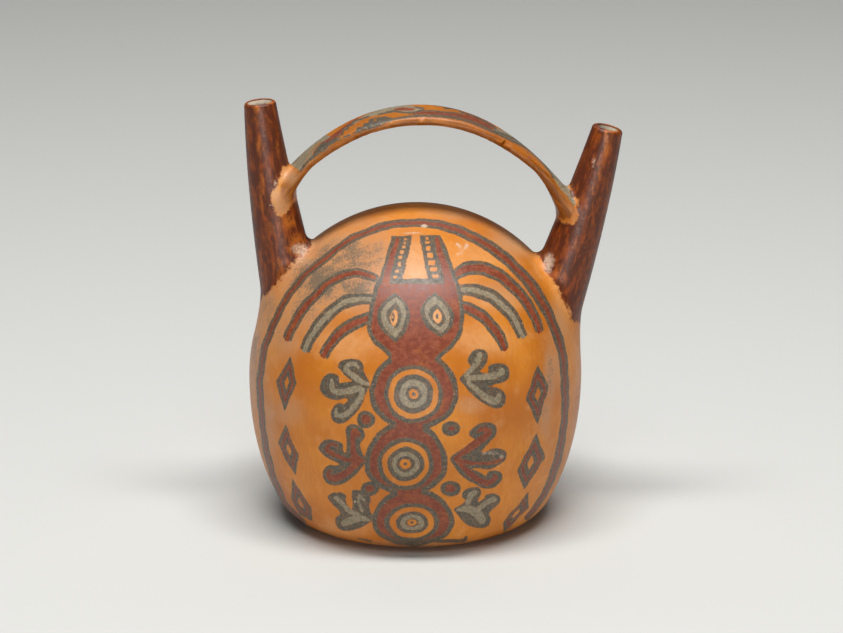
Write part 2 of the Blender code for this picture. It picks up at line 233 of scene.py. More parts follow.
# The three-lobed leaves: the core's slip, the outline, the core's strokes and the dark strokes over them
LEAVES = (
    {
        "core": "grey",
        "outline": (
            (369.5, 384.3), (365.8, 375.8), (363.7, 370), (363.3, 364.2), (358.7, 360.3), (350.8, 358.8),
            (342.5, 360.3), (337.2, 365.3), (340, 369.7), (344.7, 375), (349.2, 378.8), (353, 381.7),
            (346.7, 382.3), (339.2, 382.7), (339.2, 377.5), (335.8, 374.2), (329.2, 373.7), (323, 378.3),
            (320.5, 385.8), (322, 393.3), (328.3, 398.3), (338.3, 400), (345.8, 398), (348.3, 400),
            (344.2, 404.3), (340, 403.3), (335, 405), (331.3, 411.7), (332.2, 419.2), (338.3, 423.3),
            (345.8, 421.7), (354.2, 415), (360.8, 406.7), (365, 396.7), (368.3, 389.2),
        ),
        "lobes": (
            (
                (368, 384.5, 1.6), (360, 380.8, 3), (355, 376.7, 3), (349.2, 372.5, 2.4), (345.3, 368, 2.4),
                (349.2, 364.3, 2.2), (355, 364.3, 2), (359, 368, 1.2),
            ),
            (
                (358.7, 388, 3.4), (348.3, 391.3, 3), (338.3, 391.7, 2.8), (332, 388.7, 2.4),
                (331.3, 380.8, 1.6),
            ),
            (
                (362.3, 390, 2.6), (360.3, 396.7, 3), (356.7, 402.5, 3), (350.8, 410, 2.8),
                (343.3, 415.8, 2.4), (337, 415, 1.8), (336, 409.2, 1.4),
            ),
        ),
        "over": (((341.7, 383.8, 1), (350.8, 383.7, 1.2), (360, 384.3, 0.9)),),
    },
    {
        "core": "red",
        "outline": (
            (365.3, 460), (362.5, 454.2), (360.8, 448.3), (360.7, 443.3), (364.5, 436.7), (364.5, 430.8),
            (360, 425.8), (352.5, 424.2), (346.7, 426.3), (345, 431.7), (346.7, 440), (346.7, 448.3),
            (345.3, 453.3), (342.7, 450), (342.7, 445), (338.3, 441.7), (330.8, 439.7), (323.3, 441.3),
            (318.7, 447.5), (322.5, 453.3), (328.3, 458.3), (335.8, 462.5), (340, 464.2), (335, 466),
            (329.2, 465.3), (324.2, 468.3), (322.8, 475.8), (326.7, 483.3), (335, 485), (344.2, 483.3),
            (353.3, 477), (360, 469.7),
        ),
        "lobes": (
            (
                (361.7, 460.5, 1.8), (354.2, 455.8, 3), (353.7, 445, 2.2), (353, 437.5, 2.6),
                (354.7, 432, 3.8), (358, 433.7, 2.6),
            ),
            (
                (355, 460, 2.8), (346.7, 459.2, 1.9), (338.3, 456.3, 2.1), (330, 451.7, 2.5),
                (327, 448.3, 1.8), (330.3, 444, 1.5), (336, 445, 1.3),
            ),
            (
                (357.5, 463, 3), (348.3, 471.7, 3.1), (340, 476.7, 3.3), (330.8, 478.3, 2.6),
                (327.7, 473.7, 1.8), (330.3, 471, 1.2),
            ),
        ),
        "over": (),
    },
    {
        "core": "grey",
        "outline": (
            (372.8, 519.2), (369.5, 510), (368.7, 504.2), (370.8, 499.2), (369.2, 494.7), (364.2, 490.8),
            (353.3, 489.7), (351.3, 495), (353, 503.3), (352.3, 509.2), (348.3, 505.8), (345.3, 500),
            (345.3, 495.8), (340.8, 492.5), (332.5, 493), (328.3, 497.5), (333.3, 505), (340, 513.3),
            (335.8, 516.7), (335.3, 523.3), (340, 529.7), (350, 531.2), (359.2, 527.8), (367, 523.7),
        ),
        "lobes": (
            ((368.7, 520, 1.4), (360.8, 518, 2.6), (352.5, 520, 3.8), (345, 522.7, 3.8)),
            ((358.7, 515.3, 2.2), (349.2, 510.8, 2.2), (340.8, 502.5, 2), (336.3, 497.7, 2.2)),
            ((362.5, 511.7, 1.2), (358.7, 501.7, 1.2), (359.3, 495.8, 1.8), (363.7, 500, 1.4)),
        ),
        "over": (),
    },
    {
        "core": "grey",
        "outline": (
            (459.3, 379.2), (465, 372.5), (470.8, 366.2), (468, 362.5), (467.5, 358.3), (471.7, 352.5),
            (477.5, 349.2), (484.2, 350), (488, 355), (487.2, 361.7), (482.5, 368.3), (480, 372),
            (488.3, 371.7), (487.5, 366.7), (493.3, 363.7), (501.7, 363.7), (508, 366.7), (509.7, 372.5),
            (507.5, 379.2), (500.8, 383.3), (491.7, 385.8), (487.5, 386.7), (495, 387.5), (501.7, 390),
            (505.3, 395.8), (504.7, 403.3), (500, 407.7), (491.7, 407.3), (481.7, 402), (471.7, 393.7),
            (465, 385.3),
        ),
        "lobes": (
            ((465, 376.3, 1.6), (473.3, 367.5, 2.6), (477.7, 360.3, 3.2), (480, 355, 2.8)),
            ((468.3, 378.3, 2.8), (481.7, 377.5, 2.8), (493.3, 375.3, 4), (501.3, 371.7, 3.8)),
            (
                (468.7, 383, 2), (478.3, 391.3, 2.6), (488.3, 398.7, 3.4), (496.7, 400.8, 3.2),
                (499.3, 395, 2),
            ),
        ),
        "over": (
            ((488.7, 370.3, 1), (494.2, 369.7, 1), (498.3, 371.7, 0.8)),
            ((472.7, 360.3, 1), (475.8, 362.3, 1)),
        ),
    },
    {
        "core": "red",
        "outline": (
            (449.7, 458.3), (458.3, 450.8), (468.3, 444.2), (475.8, 440.3), (470.8, 437), (469.3, 432.5),
            (474.2, 426.7), (481.7, 422.8), (490.8, 422.5), (496.2, 427.5), (495.3, 435), (488.3, 443.7),
            (480.8, 451.7), (486.7, 451.7), (491.7, 449.2), (500, 448.5), (506.2, 452.5), (505.3, 459.5),
            (498.3, 465.3), (488.3, 469.5), (477.5, 468.7), (471.7, 468.7), (480, 473.3), (486, 475.5),
            (488.3, 472), (495, 470.2), (501.2, 473.3), (501.7, 479.2), (495.8, 486.7), (485, 488.2),
            (473.3, 483.3), (461.7, 475.3), (454.2, 466.2),
        ),
        "lobes": (
            (
                (454.3, 458.7, 1.8), (465, 451.2, 3.2), (476.7, 443.3, 3.3), (485, 436.7, 3.2),
                (488.3, 430.8, 2.8), (483.3, 428.7, 2.2), (478, 431.7, 1.3),
            ),
            (
                (456.7, 460.5, 2.4), (470, 462.8, 1.8), (483.3, 463.5, 1.4), (496.7, 461.3, 1.8),
                (502, 458.3, 1.4),
            ),
            (
                (458.3, 462, 2.2), (466.7, 470.3, 2.6), (476.7, 478.7, 2.9), (488.3, 482.7, 2.8),
                (495.3, 478.3, 2.2), (494.2, 475.3, 1.2),
            ),
        ),
        "over": (),
    },
    {
        "core": "grey",
        "outline": (
            (454.3, 509.2), (460, 505), (465, 500.8), (462.2, 497.5), (463.3, 491.7), (470, 487.5),
            (478.3, 487), (481.3, 491.7), (479.2, 499.2), (478.3, 502), (484.2, 499.2), (485.8, 495),
            (493.3, 493.3), (499.5, 496.7), (499, 503.3), (491.7, 510), (488.3, 513.3), (490.7, 518.3),
            (488.3, 525.3), (479.2, 528.7), (468.3, 525.3), (460, 518.7),
        ),
        "lobes": (
            ((458.7, 509.3, 1.8), (468.3, 508.7, 3.6), (477.5, 513.3, 4.4), (481.7, 520, 4)),
            ((466.7, 505, 2), (470.8, 495.8, 3.2), (475.3, 492.5, 2.4)),
            ((478.3, 509.2, 2.4), (486.7, 503.3, 2.4), (493.3, 499.2, 2.8)),
        ),
        "over": (),
    },
)
DOTS = (
    ((366, 419.4), (9, 9), (366, 419.4), (4.6, 4.6)),
    ((370, 488.7), (8.7, 6.9), (370, 488.7), (4, 3)),
    ((451, 428.7), (9.4, 7.5), (452, 428.7), (3.6, 2.6)),
    ((450.6, 488.7), (10.5, 7.8), (450.6, 488.7), (5.2, 4)),
)

# The diamonds down each side, from the top round by the right, and how much of them each slip fills
DIAMONDS = (
    ((290.6, 355.5), (296.9, 382.5), (284.6, 411), (275.6, 381)),
    ((285, 423.7), (298.7, 456), (295, 475.5), (277.5, 443.7)),
    ((292, 478), (311.5, 508), (312, 522), (299, 514), (291, 497)),
    ((537.5, 364.5), (548.7, 386), (538, 425), (526, 400)),
    ((536.9, 433), (545, 457.5), (523.7, 490), (517.5, 470)),
    ((528, 492), (528.7, 507.5), (504, 532.4), (503, 522.5)),
)
DIAMOND_RINGS = (("dark", 1.0), ("red", 0.74), ("dark", 0.52), (None, 0.25))
BASE_LINES = (
    ((429, 541.4, 1.5), (450, 541, 1.8), (464, 540, 1.8), (466.6, 537, 1.5)),
    ((358, 538.6, 0.8), (372, 541.8, 0.9)),
)

# Outlines round the spouts' red-brown slip
LEFT_SLIP = (
    (225, 80), (291, 80), (291, 150), (290, 163.5), (285, 168.5), (279.2, 178.3), (273.3, 188.3),
    (271.7, 199), (275.6, 207), (278.3, 214.6), (283.5, 216.6), (289, 209.5), (296, 203.5), (308, 203),
    (309, 230), (313, 238), (306.5, 253), (287, 269), (274, 287), (262, 297), (225, 302),
)
RIGHT_SLIP = (
    (575, 100), (650, 100), (650, 330), (577.5, 321), (571, 314), (561, 297), (553.6, 284), (547, 272),
    (540, 260), (538, 252), (541, 236), (545, 219.6), (558, 219), (573, 222), (577.6, 212), (574, 200),
    (571, 190), (568, 182),
)

# The bridge's slips: the line along its front edge, and the areas and strokes behind it
BRIDGE_LINE = (
    (300.3, 171, 1.1), (304.7, 165, 1.2), (310, 159.3, 1.3), (325, 146.7, 1.2), (340, 139.2, 1.1),
    (356.7, 132.3, 1.1), (376.7, 125.7, 1.1), (391.7, 119.8, 1.1), (408.3, 116.8, 1.1), (428.3, 116, 1.1),
    (451.7, 117.7, 1.1), (468.3, 121.8, 1), (485, 128.5, 1), (506.7, 138.3, 0.9), (526.7, 148.3, 0.9),
    (541.7, 161.5, 0.8), (554, 178, 0.7),
)
BRIDGE_AREAS = (
    (
        "grey", (291.7, 164.7), (308.3, 146.3), (318.3, 137.3), (325, 135), (335, 138.8), (330.8, 145.5),
        (326.7, 148.8), (310, 161.3), (300.8, 171.3),
    ),
    (
        "dark", (313.7, 152.2), (316.7, 146), (320.8, 142.2), (328.3, 139.7), (335, 137.7), (338.7, 138),
        (335, 141.7), (331.3, 145), (325, 150), (310, 161.3), (305, 164.7),
    ),
    (
        "red", (320.8, 143.3), (328.3, 138), (336.7, 132.2), (342.5, 127.7), (345.3, 129.7), (340, 134.2),
        (335, 137.5), (326.7, 142.3),
    ),
    (
        "grey", (343.3, 129.7), (353.3, 123), (365, 115.5), (378.3, 110), (395, 106.3), (409.2, 105.7),
        (423.7, 108.3), (421.7, 111.3), (408.3, 113), (393.3, 111.7), (385, 113.3), (375, 115.3),
        (363.3, 118), (352.5, 124.7),
    ),
    ("red", (343.3, 127.7), (349.2, 123), (356.7, 118.8), (360, 119.3), (353.3, 123.3), (347, 128)),
    ("red", (393.3, 108.7), (401.7, 107), (416.7, 108), (413.3, 111), (401.7, 111), (393.3, 110.7)),
    (
        "dark", (356.3, 130.8), (357, 127.3), (363, 126.7), (363.7, 123.2), (368.3, 122.7), (368.8, 119.5),
        (375.8, 117.5), (385, 116.3), (391.7, 117.8), (394.7, 119.3), (378.3, 125.5), (368.3, 128.8),
    ),
    (
        "grey", (492.5, 126.7), (506.7, 132.3), (523.3, 142.7), (541.7, 158.8), (558.3, 178),
        (568.3, 184.7), (575.8, 204.7), (573, 206.3), (568.3, 196.3), (560.8, 188.8), (553.7, 177.7),
        (541.7, 161.7), (526.7, 148.5), (506.7, 138.5), (495.3, 132.2),
    ),
)
BRIDGE_STROKES = (
    (None, (304.7, 164.3, 0.7), (308.3, 156.3, 0.7), (312.5, 148.8, 0.7), (319.2, 142.7, 0.7)),
    (None, (311.3, 157.7, 0.7), (313.7, 151, 0.7), (317.5, 146, 0.7), (321.3, 141.7, 0.7)),
    (
        "dark", (331.3, 144.8, 0.8), (335, 141.7, 0.8), (335, 138.2, 0.8), (338.5, 137.7, 0.8),
        (338.8, 134.8, 0.8), (342.7, 134, 0.8), (343.3, 129.8, 0.9), (347.7, 129, 0.9), (348.3, 125.7, 0.9),
        (352.7, 124.7, 0.9), (353.3, 121.7, 0.9), (360, 119.3, 0.8), (368.3, 116.7, 0.8),
    ),
    (
        "dark", (378.3, 114.7, 0.7), (385, 113, 0.9), (393.3, 111.3, 1), (401.7, 112.3, 0.9),
        (408.7, 112.7, 0.9), (416.7, 111.7, 0.8), (423.7, 109, 0.9), (415, 107, 0.7),
    ),
    (None, (374.7, 120.3, 0.7), (376, 120, 0.7)),
    (
        "dark", (435, 105, 0.8), (443.3, 106, 0.9), (444.7, 108, 0.8), (456.7, 109, 0.9),
        (460.3, 111.3, 0.8), (467, 114, 0.9),
    ),
    (
        "red", (413.3, 113.3, 0.9), (424.2, 112.3, 1.5), (438.3, 113.3, 1.6), (451.7, 114.3, 1.6),
        (461.7, 116.3, 1.6), (473.3, 120.3, 1.7), (483.3, 124.3, 1.6), (491.7, 128.3, 1.2),
    ),
    (
        "dark", (409.2, 114, 0.6), (418.3, 111.3, 0.6), (428.3, 110.7, 0.7), (441.7, 111.7, 0.7),
        (453.3, 112.7, 0.7), (462, 114.3, 0.7),
    ),
    (
        "dark", (413.3, 114.7, 0.5), (435, 114.8, 0.5), (455, 116.7, 0.5), (468.3, 119.7, 0.5),
        (485, 126.3, 0.6), (496.7, 132.7, 0.6),
    ),
    ("red", (467, 115, 1.3), (476.7, 118.7, 1.9), (486.7, 123.3, 2), (495, 128.3, 1.4)),
    (
        "dark", (461.7, 112.7, 0.6), (471.7, 115.3, 0.7), (481.7, 119.7, 0.7), (491.7, 125.5, 0.9),
        (495.3, 129, 0.9),
    ),
    (
        "dark", (495.3, 131.3, 0.8), (506.7, 135.7, 0.9), (521.7, 142.7, 0.9), (535, 153, 0.8),
        (546.7, 165.5, 0.8),
    ),
    ("red", (528.7, 156.7, 0.7), (530.3, 158.3, 0.7)),
    ("dark", (538.7, 165, 0.4), (539.7, 166.3, 0.4)),
    ("dark", (543.3, 169.7, 0.4), (545.3, 172, 0.4)),
    ("dark", (551.7, 176.3, 0.4), (552.3, 177.3, 0.4)),
)

# Soft marks on the drawing, of soot, pale dust, faded ground and rubbed slip, with painted shade, painted
# highlights and painted sheen among them: across, down, how far they reach across and down, how strong.
# They fade towards the back
MARK_STEEPNESS = 1.5
MARKS_FADE_OVER = 0.02
BACK_SMOKE_AND_SHADE = 0.5
BACK_BARE_AND_HIGHLIGHT = 0.6
# Soot, and painted shade along the bottom of the front, which is the mark at (420, 545)
SMOKE_AND_SHADE = (
    (350, 256, 58, 28, 0.8), (318, 280, 46, 34, 0.86), (352, 288, 42, 24, 0.8), (378, 256, 14, 34, 0.66),
    (300, 308, 34, 32, 0.66), (284, 334, 18, 28, 0.6), (270, 312, 18, 30, 0.66), (256, 354, 10, 50, 0.7),
    (300, 258, 30, 16, 0.56), (288, 412, 16, 14, 0.46), (268, 425, 10, 34, 0.46), (283, 275, 14, 16, 0.42),
    (512, 238, 22, 16, 0.56), (470, 214, 40, 7, 0.44), (282, 206, 10, 11, 0.54), (290, 176, 8, 8, 0.6),
    (352, 222, 30, 7, 0.4), (550, 374, 6, 34, 0.7), (546, 415, 6, 22, 0.66), (557, 366, 6, 24, 0.55),
    (500, 292, 28, 14, 0.4), (557, 330, 8, 24, 0.5), (470, 405, 14, 9, 0.42), (420, 545, 64, 5, 0.36),
)
# Pale dust, and painted highlights on the spouts' feet: the marks at (300, 249), (305, 262), (549, 262),
# (538, 266)
PALE_DUST_AND_HIGHLIGHTS = (
    (456, 244.5, 3.4, 3.8, 0.76), (466.5, 246.5, 3.6, 4.8, 0.8), (459.5, 253.5, 5.4, 2.8, 0.74),
    (461.5, 249, 6.5, 6, 0.56), (412, 232.5, 17, 2.2, 0.7), (424, 226, 5, 2.4, 0.82),
    (272, 414, 8, 10, 0.5), (490, 453, 13, 3.6, 0.6), (500, 456, 6, 5, 0.56), (312, 371, 1, 1.4, 0.8),
    (313, 396, 0.7, 3.2, 0.5), (355, 502, 1.6, 2.2, 0.76), (481, 377, 10, 1.4, 0.46), (516, 518, 9, 9, 0.4),
    (276.5, 180, 2.6, 6, 0.52), (273.5, 192, 2.4, 6, 0.52), (265.3, 190, 1.2, 1.4, 0.8),
    (271.7, 205, 2.4, 1.7, 0.8), (278.7, 223, 0.9, 1.2, 0.8), (275, 183, 2, 5, 0.78),
    (274, 140, 2.2, 8, 0.42), (300, 249, 13, 10, 0.66), (305, 262, 14, 9, 0.5), (549, 262, 8, 15, 0.7),
    (538, 266, 4, 4, 0.5), (594, 162, 4, 10, 0.58), (582, 160, 2, 5, 0.46), (573.5, 200, 3, 8, 0.58),
    (584.5, 248.5, 1, 1.4, 0.8), (570, 312, 4, 12, 0.42), (529, 528, 8, 12, 0.3),
)
# Faded ground, and painted sheen beside the head, between the jaws and in the eyes' orange
FADED_AND_SHEEN = (
    (281, 175, 9, 11, 0.6), (274, 189, 6, 13, 0.8), (568, 194, 8, 16, 0.3), (300, 236, 26, 12, 0.6),
    (346, 344, 34, 16, 0.55), (484, 340, 30, 16, 0.5), (416, 262, 14, 24, 0.6), (480, 258, 34, 16, 0.4),
    (500, 300, 26, 12, 0.45), (393, 318, 8, 12, 0.7), (437, 316, 8, 12, 0.8), (520, 246, 22, 12, 0.5),
    (562, 304, 10, 40, 0.45), (345, 528, 26, 10, 0.4),
)
# Rubbed slip, and painted highlights on the spouts' feet, which are the marks at (297, 246) and (560, 272)
BARE_AND_HIGHLIGHTS = (
    (259, 148, 7, 18, 0.5), (277, 150, 5, 18, 0.52), (288, 222, 12, 12, 0.52), (297, 246, 15, 18, 0.58),
    (280, 264, 11, 12, 0.48), (256, 110, 5, 8, 0.5), (262, 190, 4, 34, 0.46), (606, 142, 4, 20, 0.6),
    (599, 168, 4, 22, 0.5), (593, 195, 5, 20, 0.46), (560, 205, 8, 8, 0.5), (575, 245, 8, 28, 0.38),
    (560, 272, 9, 18, 0.46), (258, 101, 22, 3.8, 1), (612, 129, 10, 4.4, 0.8),
)

# The strap's brown, partly its own colour and partly painted shade on its underside: how far up its front
# edge it starts and over what it grows, in points, how strong it is at the left, and over what length it
# grows full from there
BROWN_STARTS = 7.8
BROWN_GROWS = 6.0
LEFT_BROWN = 0.75
BROWN_LENGTH = 0.1875

# The slips' colours, linear
ORANGE = (0.630, 0.222, 0.022)
ORANGE_DEEP = (0.460, 0.132, 0.009)
ORANGE_PALE = (0.700, 0.360, 0.150)
# Orange under soot and under painted shade
ORANGE_SMOKED_AND_SHADED = (0.520, 0.270, 0.135)
# The strap's brown, partly its own colour and partly painted shade on its underside
STRAP_BROWN_AND_SHADE = (0.200, 0.052, 0.003)
RED = (0.175, 0.038, 0.018)
RED_LIGHT = (0.275, 0.070, 0.030)
DARK = (0.068, 0.056, 0.040)
DARK_LIGHT = (0.135, 0.112, 0.078)
GREY = (0.170, 0.136, 0.084)
GREY_LIGHT = (0.315, 0.252, 0.165)
MAROON = (0.088, 0.019, 0.006)
MAROON_LIGHT = (0.245, 0.050, 0.006)
# The rubbed maroon, which also stands for painted highlights on the spouts' feet
MAROON_WORN_AND_HIGHLIGHT = (0.400, 0.108, 0.010)
# Grey of soot and of painted shade
SMOKE_AND_SHADE_GREY = (0.130, 0.105, 0.072)
# Colour of pale dust and of painted highlights
PALE_DUST_AND_HIGHLIGHT = (0.600, 0.460, 0.340)
CLAY = (0.480, 0.380, 0.270)
CLAY_PALE = (0.640, 0.560, 0.440)
LIP_RED = (0.110, 0.020, 0.010)

# The noises of the painted clay: their scale, detail and roughness
NOISES = {
    "broad": (24, 4, 0.55),
    "middle": (120, 5, 0.6),
    "small": (420, 5, 0.7),
    "fine": (1000, 3, 0.6),
    "speck": (1700, 1, 0.5),
    "gritty": (760, 5, 0.8),
    "sooty": (1150, 4, 0.75),
}
UPRIGHT_NOISE = (620, 3, 0.6)
UPRIGHT_SCALE = (1.0, 1.0, 0.22)
STRAP_NOISE = (620, 4, 0.65)
LENGTHWISE_NOISE = (360, 6, 0.72)
LENGTHWISE_BROAD_NOISE = (190, 4, 0.6)
INSIDE_NOISE = (160, 5, 0.6)
PATCHINESS = 0.9
EDGE_SOFT = 0.55
MAROON_EDGE_SOFT = 1.7
SLIP_SPREAD = 0.40
SPECULAR = 0.36

# What a noise or a soft mark is carried to: its low and high end, and the values there when not 0 and 1
RANGES = {
    "ragged_edge": (0.3, 0.7, -0.30, 0.30),
    "worn_edge": (0.3, 0.7, -1.8, 1.8),
    "worn_edge_broad": (0.34, 0.66, -2.2, 2.2),
    "thin_dark": (0.32, 0.54, 0.84, 1.0),
    "ground": (0.35, 0.68),
    "pale_ground": (0.48, 0.80, 0.0, 0.40),
    "burnished_ground": (0.36, 0.64, 0.30, 0.0),
    "uneven_fading_and_sheen": (0.36, 0.60, 0.70, 1.0),
    "strap_streaks": (0.38, 0.60, 0.50, 1.0),
    "uneven_smoke_and_shade": (0.30, 0.62, 0.74, 1.0),
    "smoke_and_shade": (0.98, 1.26, 0.0, 0.78),
    "soot_specks": (0.69, 0.78, 0.0, 0.55),
    "red": (0.38, 0.68),
    "worn_red": (0.56, 0.76, 0.0, 0.35),
    "grey": (0.35, 0.66),
    "dark": (0.38, 0.70),
    "maroon": (0.43, 0.62),
    "deep_maroon": (0.48, 0.60, 0.0, 0.70),
    "rubbed_and_highlight": (0.78, 1.06, 0.0, 0.90),
    "rubbed_broad": (0.55, 0.70, 0.0, 0.36),
    "uneven_rubbing": (0.34, 0.54, 0.25, 1.0),
    "flecks": (0.67, 0.74, 0.0, 0.50),
    "dust_and_highlight": (0.86, 1.24, 0.0, 0.80),
    "roughness": (0.3, 0.72, 0.33, 0.48),
    "inside": (0.35, 0.7),
    "inside_roughness": (0.3, 0.7, 0.75, 0.92),
}
# How strongly soot and painted shade tint the ground and veil it
SMOKE_AND_SHADE_TINT = 1.1
SMOKE_AND_SHADE_VEIL = 0.12
# How much rougher pale dust and painted highlights make the clay
DUST_AND_HIGHLIGHT_ROUGHER = 0.3

# How high the noises and the painted lines stand in the bumps
MIDDLE_RELIEF = 0.5
SMALL_RELIEF = 0.30
BURNISH_RELIEF = 0.15
LINE_RELIEF = 0.06
BUMP = {"Strength": 0.35, "Distance": 0.0005}
INSIDE_BUMP = {"Strength": 0.4, "Distance": 0.0006}

# How deep under a rim the lip's red and, above it, the orange end inside a mouth, and over what they fade
LIP_RED_ENDS = (0.0011, 0.0008)
ORANGE_ENDS = (0.0007, 0.0005)
INSIDE_UNEVEN = 0.0006

# The stage, and its lights: where they hang, how wide and deep they are, and their power
FLOOR_HALF = 6.0
FLOOR_COLOUR = (0.60, 0.60, 0.575)
FLOOR_ROUGHNESS = 0.9
WORLD_STRENGTH = 0.04
LIGHTS = {
    "key_light": ((0.0, -0.36, 1.70), 1.4, 0.36, 35.5),
    "slope_light": ((0.0, -0.98, 1.42), 0.5, 0.5, 4.6),
    "back_light": ((0.0, 1.20, 1.60), 2.8, 0.8, 7.0),
    "front_light": ((0.0, -1.75, 0.14), 0.8, 0.24, 8.5),
}


def mixed(low, high, share):
    return low + (high - low) * share


def rounded_meet(first, second, radius):
    """The gap outside what two shapes share, with their common edge rounded."""
    near = np.hypot(np.maximum(first + radius, 0), np.maximum(second + radius, 0))
    return np.minimum(np.maximum(first, second), -radius) + near


def rounded_join(first, second, radius):
    """The gap outside two shapes together, with a ball rolled round the corner between them."""
    near = np.hypot(np.maximum(radius - first, 0), np.maximum(radius - second, 0))
    return np.maximum(np.minimum(first, second), radius) - near


def body_side(height, wall=0.0):
    """Radius of the body or its hollow at a height below the belly, and how deep its curve would go."""
    radius = BODY_WIDTH / 2
    share = (BASE_RADIUS / radius) ** LOWER_FULLNESS
    reach_down = BELLY_HEIGHT / (1 - share) ** (1 / LOWER_FULLNESS) - wall
    down = (BELLY_HEIGHT - height) / reach_down
    return (radius - wall) * (1 - down**LOWER_FULLNESS) ** (1 / LOWER_FULLNESS), reach_down


def base_edge(wall=0.0, floor=0.0):
    """Where a ball on the floor touches the side: how far out the ball is, and the side's lean there."""
    low, high = floor, BELLY_HEIGHT
    while high - low > SMALL_STEP:
        touch = (low + high) / 2
        side = body_side(touch, wall)[0]
        lean = math.atan2(SMALL_STEP, body_side(touch + SMALL_STEP, wall)[0] - side)
        if touch + BASE_ROUND * math.cos(lean) > floor + BASE_ROUND:
            high = touch
        else:
            low = touch
    return side - BASE_ROUND * math.sin(lean), lean


def body_gap(points, wall=0.0, floor=0.0):
    """How far points are outside the body, or outside its hollow when a wall and a floor are given."""
    radius = BODY_WIDTH / 2 - wall
    reach_down = body_side(BELLY_HEIGHT, wall)[1]
    reach_up = BODY_HEIGHT - BELLY_HEIGHT - wall
    x = points[:, 0] - BODY_LEAN * (points[:, 2] - BELLY_HEIGHT)
    y = points[:, 1] * radius / (BODY_DEPTH / 2 - wall)
    z = points[:, 2] - BELLY_HEIGHT
    off = np.hypot(x, y)
    along = np.where(z > 0, z / reach_up, -z / reach_down)
    power = np.where(z > 0, UPPER_FULLNESS, LOWER_FULLNESS)
    reach = np.maximum(((off / radius) ** power + along**power) ** (1 / power), SMALL_STEP)
    gap = np.hypot(off, z) * (1 - 1 / reach)
    middle, lean = base_edge(wall, floor)
    beside, down = off - middle, floor + BASE_ROUND - points[:, 2]
    turn = np.arctan2(beside, down)
    on_edge = (turn > 0) & (turn < lean)
    return np.where(on_edge, np.hypot(beside, down) - BASE_ROUND, np.maximum(gap, floor - points[:, 2]))


def along_spout(points, spout):
    """For each point, the nearest share of a spout's axis, how far off it is, and how far past the rim."""
    foot, bend, rim = (np.array(spout[name]) for name in ("foot", "bend", "rim"))
    turn = foot - 2 * bend + rim
    share = np.clip((points[:, 2] - foot[2]) / (rim[2] - foot[2]), 0, 1)
    for _ in range(SURFACE_STEPS):
        at = foot + 2 * share[:, None] * (bend - foot) + share[:, None] ** 2 * turn
        way = 2 * (bend - foot) + 2 * share[:, None] * turn
        off = points - at
        share = share + (off * way).sum(1) / ((way**2).sum(1) - 2 * off @ turn)
        share = np.clip(share, 0, 1)
    at = foot + 2 * share[:, None] * (bend - foot) + share[:, None] ** 2 * turn
    out = rim - bend
    past = (points - rim) @ (out / np.linalg.norm(out))
    return share, np.linalg.norm(points - at, axis=1), past


def spout_gap(points, spout):
    share, off, past = along_spout(points, spout)
    side = off - mixed(spout["foot_radius"], spout["rim_radius"], share)
    return rounded_meet(side, past, LIP_ROUND)


def bore_gap(points, spout):
    """How far points are outside a spout's channel, which flares at the mouth and runs on above it."""
    share, off, past = along_spout(points, spout)
    rim, bend = np.array(spout["rim"]), np.array(spout["bend"])
    out = (rim - bend) / np.linalg.norm(rim - bend)
    above = points - rim
    off_above = np.linalg.norm(above - (above @ out)[:, None] * out, axis=1)
    off = np.where(past > 0, off_above, off)
    narrow = spout["rim_radius"] - spout["lip_wall"]
    radius = mixed(spout["foot_radius"] - spout["foot_wall"], narrow, share)
    flare = (spout["mouth_radius"] - narrow) * np.maximum(0, 1 + past / MOUTH_FLARE_DEPTH)
    return np.maximum(off - radius - flare, past - BORE_RISES)


def bridge_line(x):
    """Height of the strap's top across the vessel, and its slope."""
    crest = BRIDGE_CREST
    left = x < crest[0]
    meets_x = np.where(left, LEFT_SPOUT["bridge"][0], RIGHT_SPOUT["bridge"][0])
    meets_z = np.where(left, LEFT_SPOUT["bridge"][2], RIGHT_SPOUT["bridge"][2])
    power = np.where(left, BRIDGE_LEFT_ARCH_POWER, BRIDGE_RIGHT_ARCH_POWER)
    share = (x - crest[0]) / (meets_x - crest[0])
    height = crest[2] - (crest[2] - meets_z) * share**power
    slope = -(crest[2] - meets_z) * power * share ** (power - 1) / (meets_x - crest[0])
    return height, slope


def on_bridge(points):
    """For each point, its place along the strap's line, across it, and above the strap's top."""
    first = LEFT_SPOUT["bridge"][0] - BRIDGE_SINKS_IN
    last = RIGHT_SPOUT["bridge"][0] + BRIDGE_SINKS_IN
    x = np.clip(points[:, 0], first, last)
    for _ in range(2 * SURFACE_STEPS):
        height, slope = bridge_line(x)
        along = (points[:, 0] - x) + (points[:, 2] - height) * slope
        x = np.clip(x + along / (1 + slope**2), first, last)
    height, slope = bridge_line(x)
    long = np.hypot(1, slope)
    across_x, across_z = points[:, 0] - x, points[:, 2] - height
    above = (across_z - slope * across_x) / long
    past_end = (across_x + slope * across_z) / long
    crest = BRIDGE_CREST[0]
    out = np.where(x < crest, (x - crest) / (first - crest), (x - crest) / (last - crest))
    roll = out * np.where(x < crest, BRIDGE_LEFT_ROLL, BRIDGE_RIGHT_ROLL)
    sideways = points[:, 1] * np.cos(roll) + above * np.sin(roll)
    above = above * np.cos(roll) - points[:, 1] * np.sin(roll)
    return {"x": x, "out": out, "sideways": sideways, "above": above, "past_end": past_end}


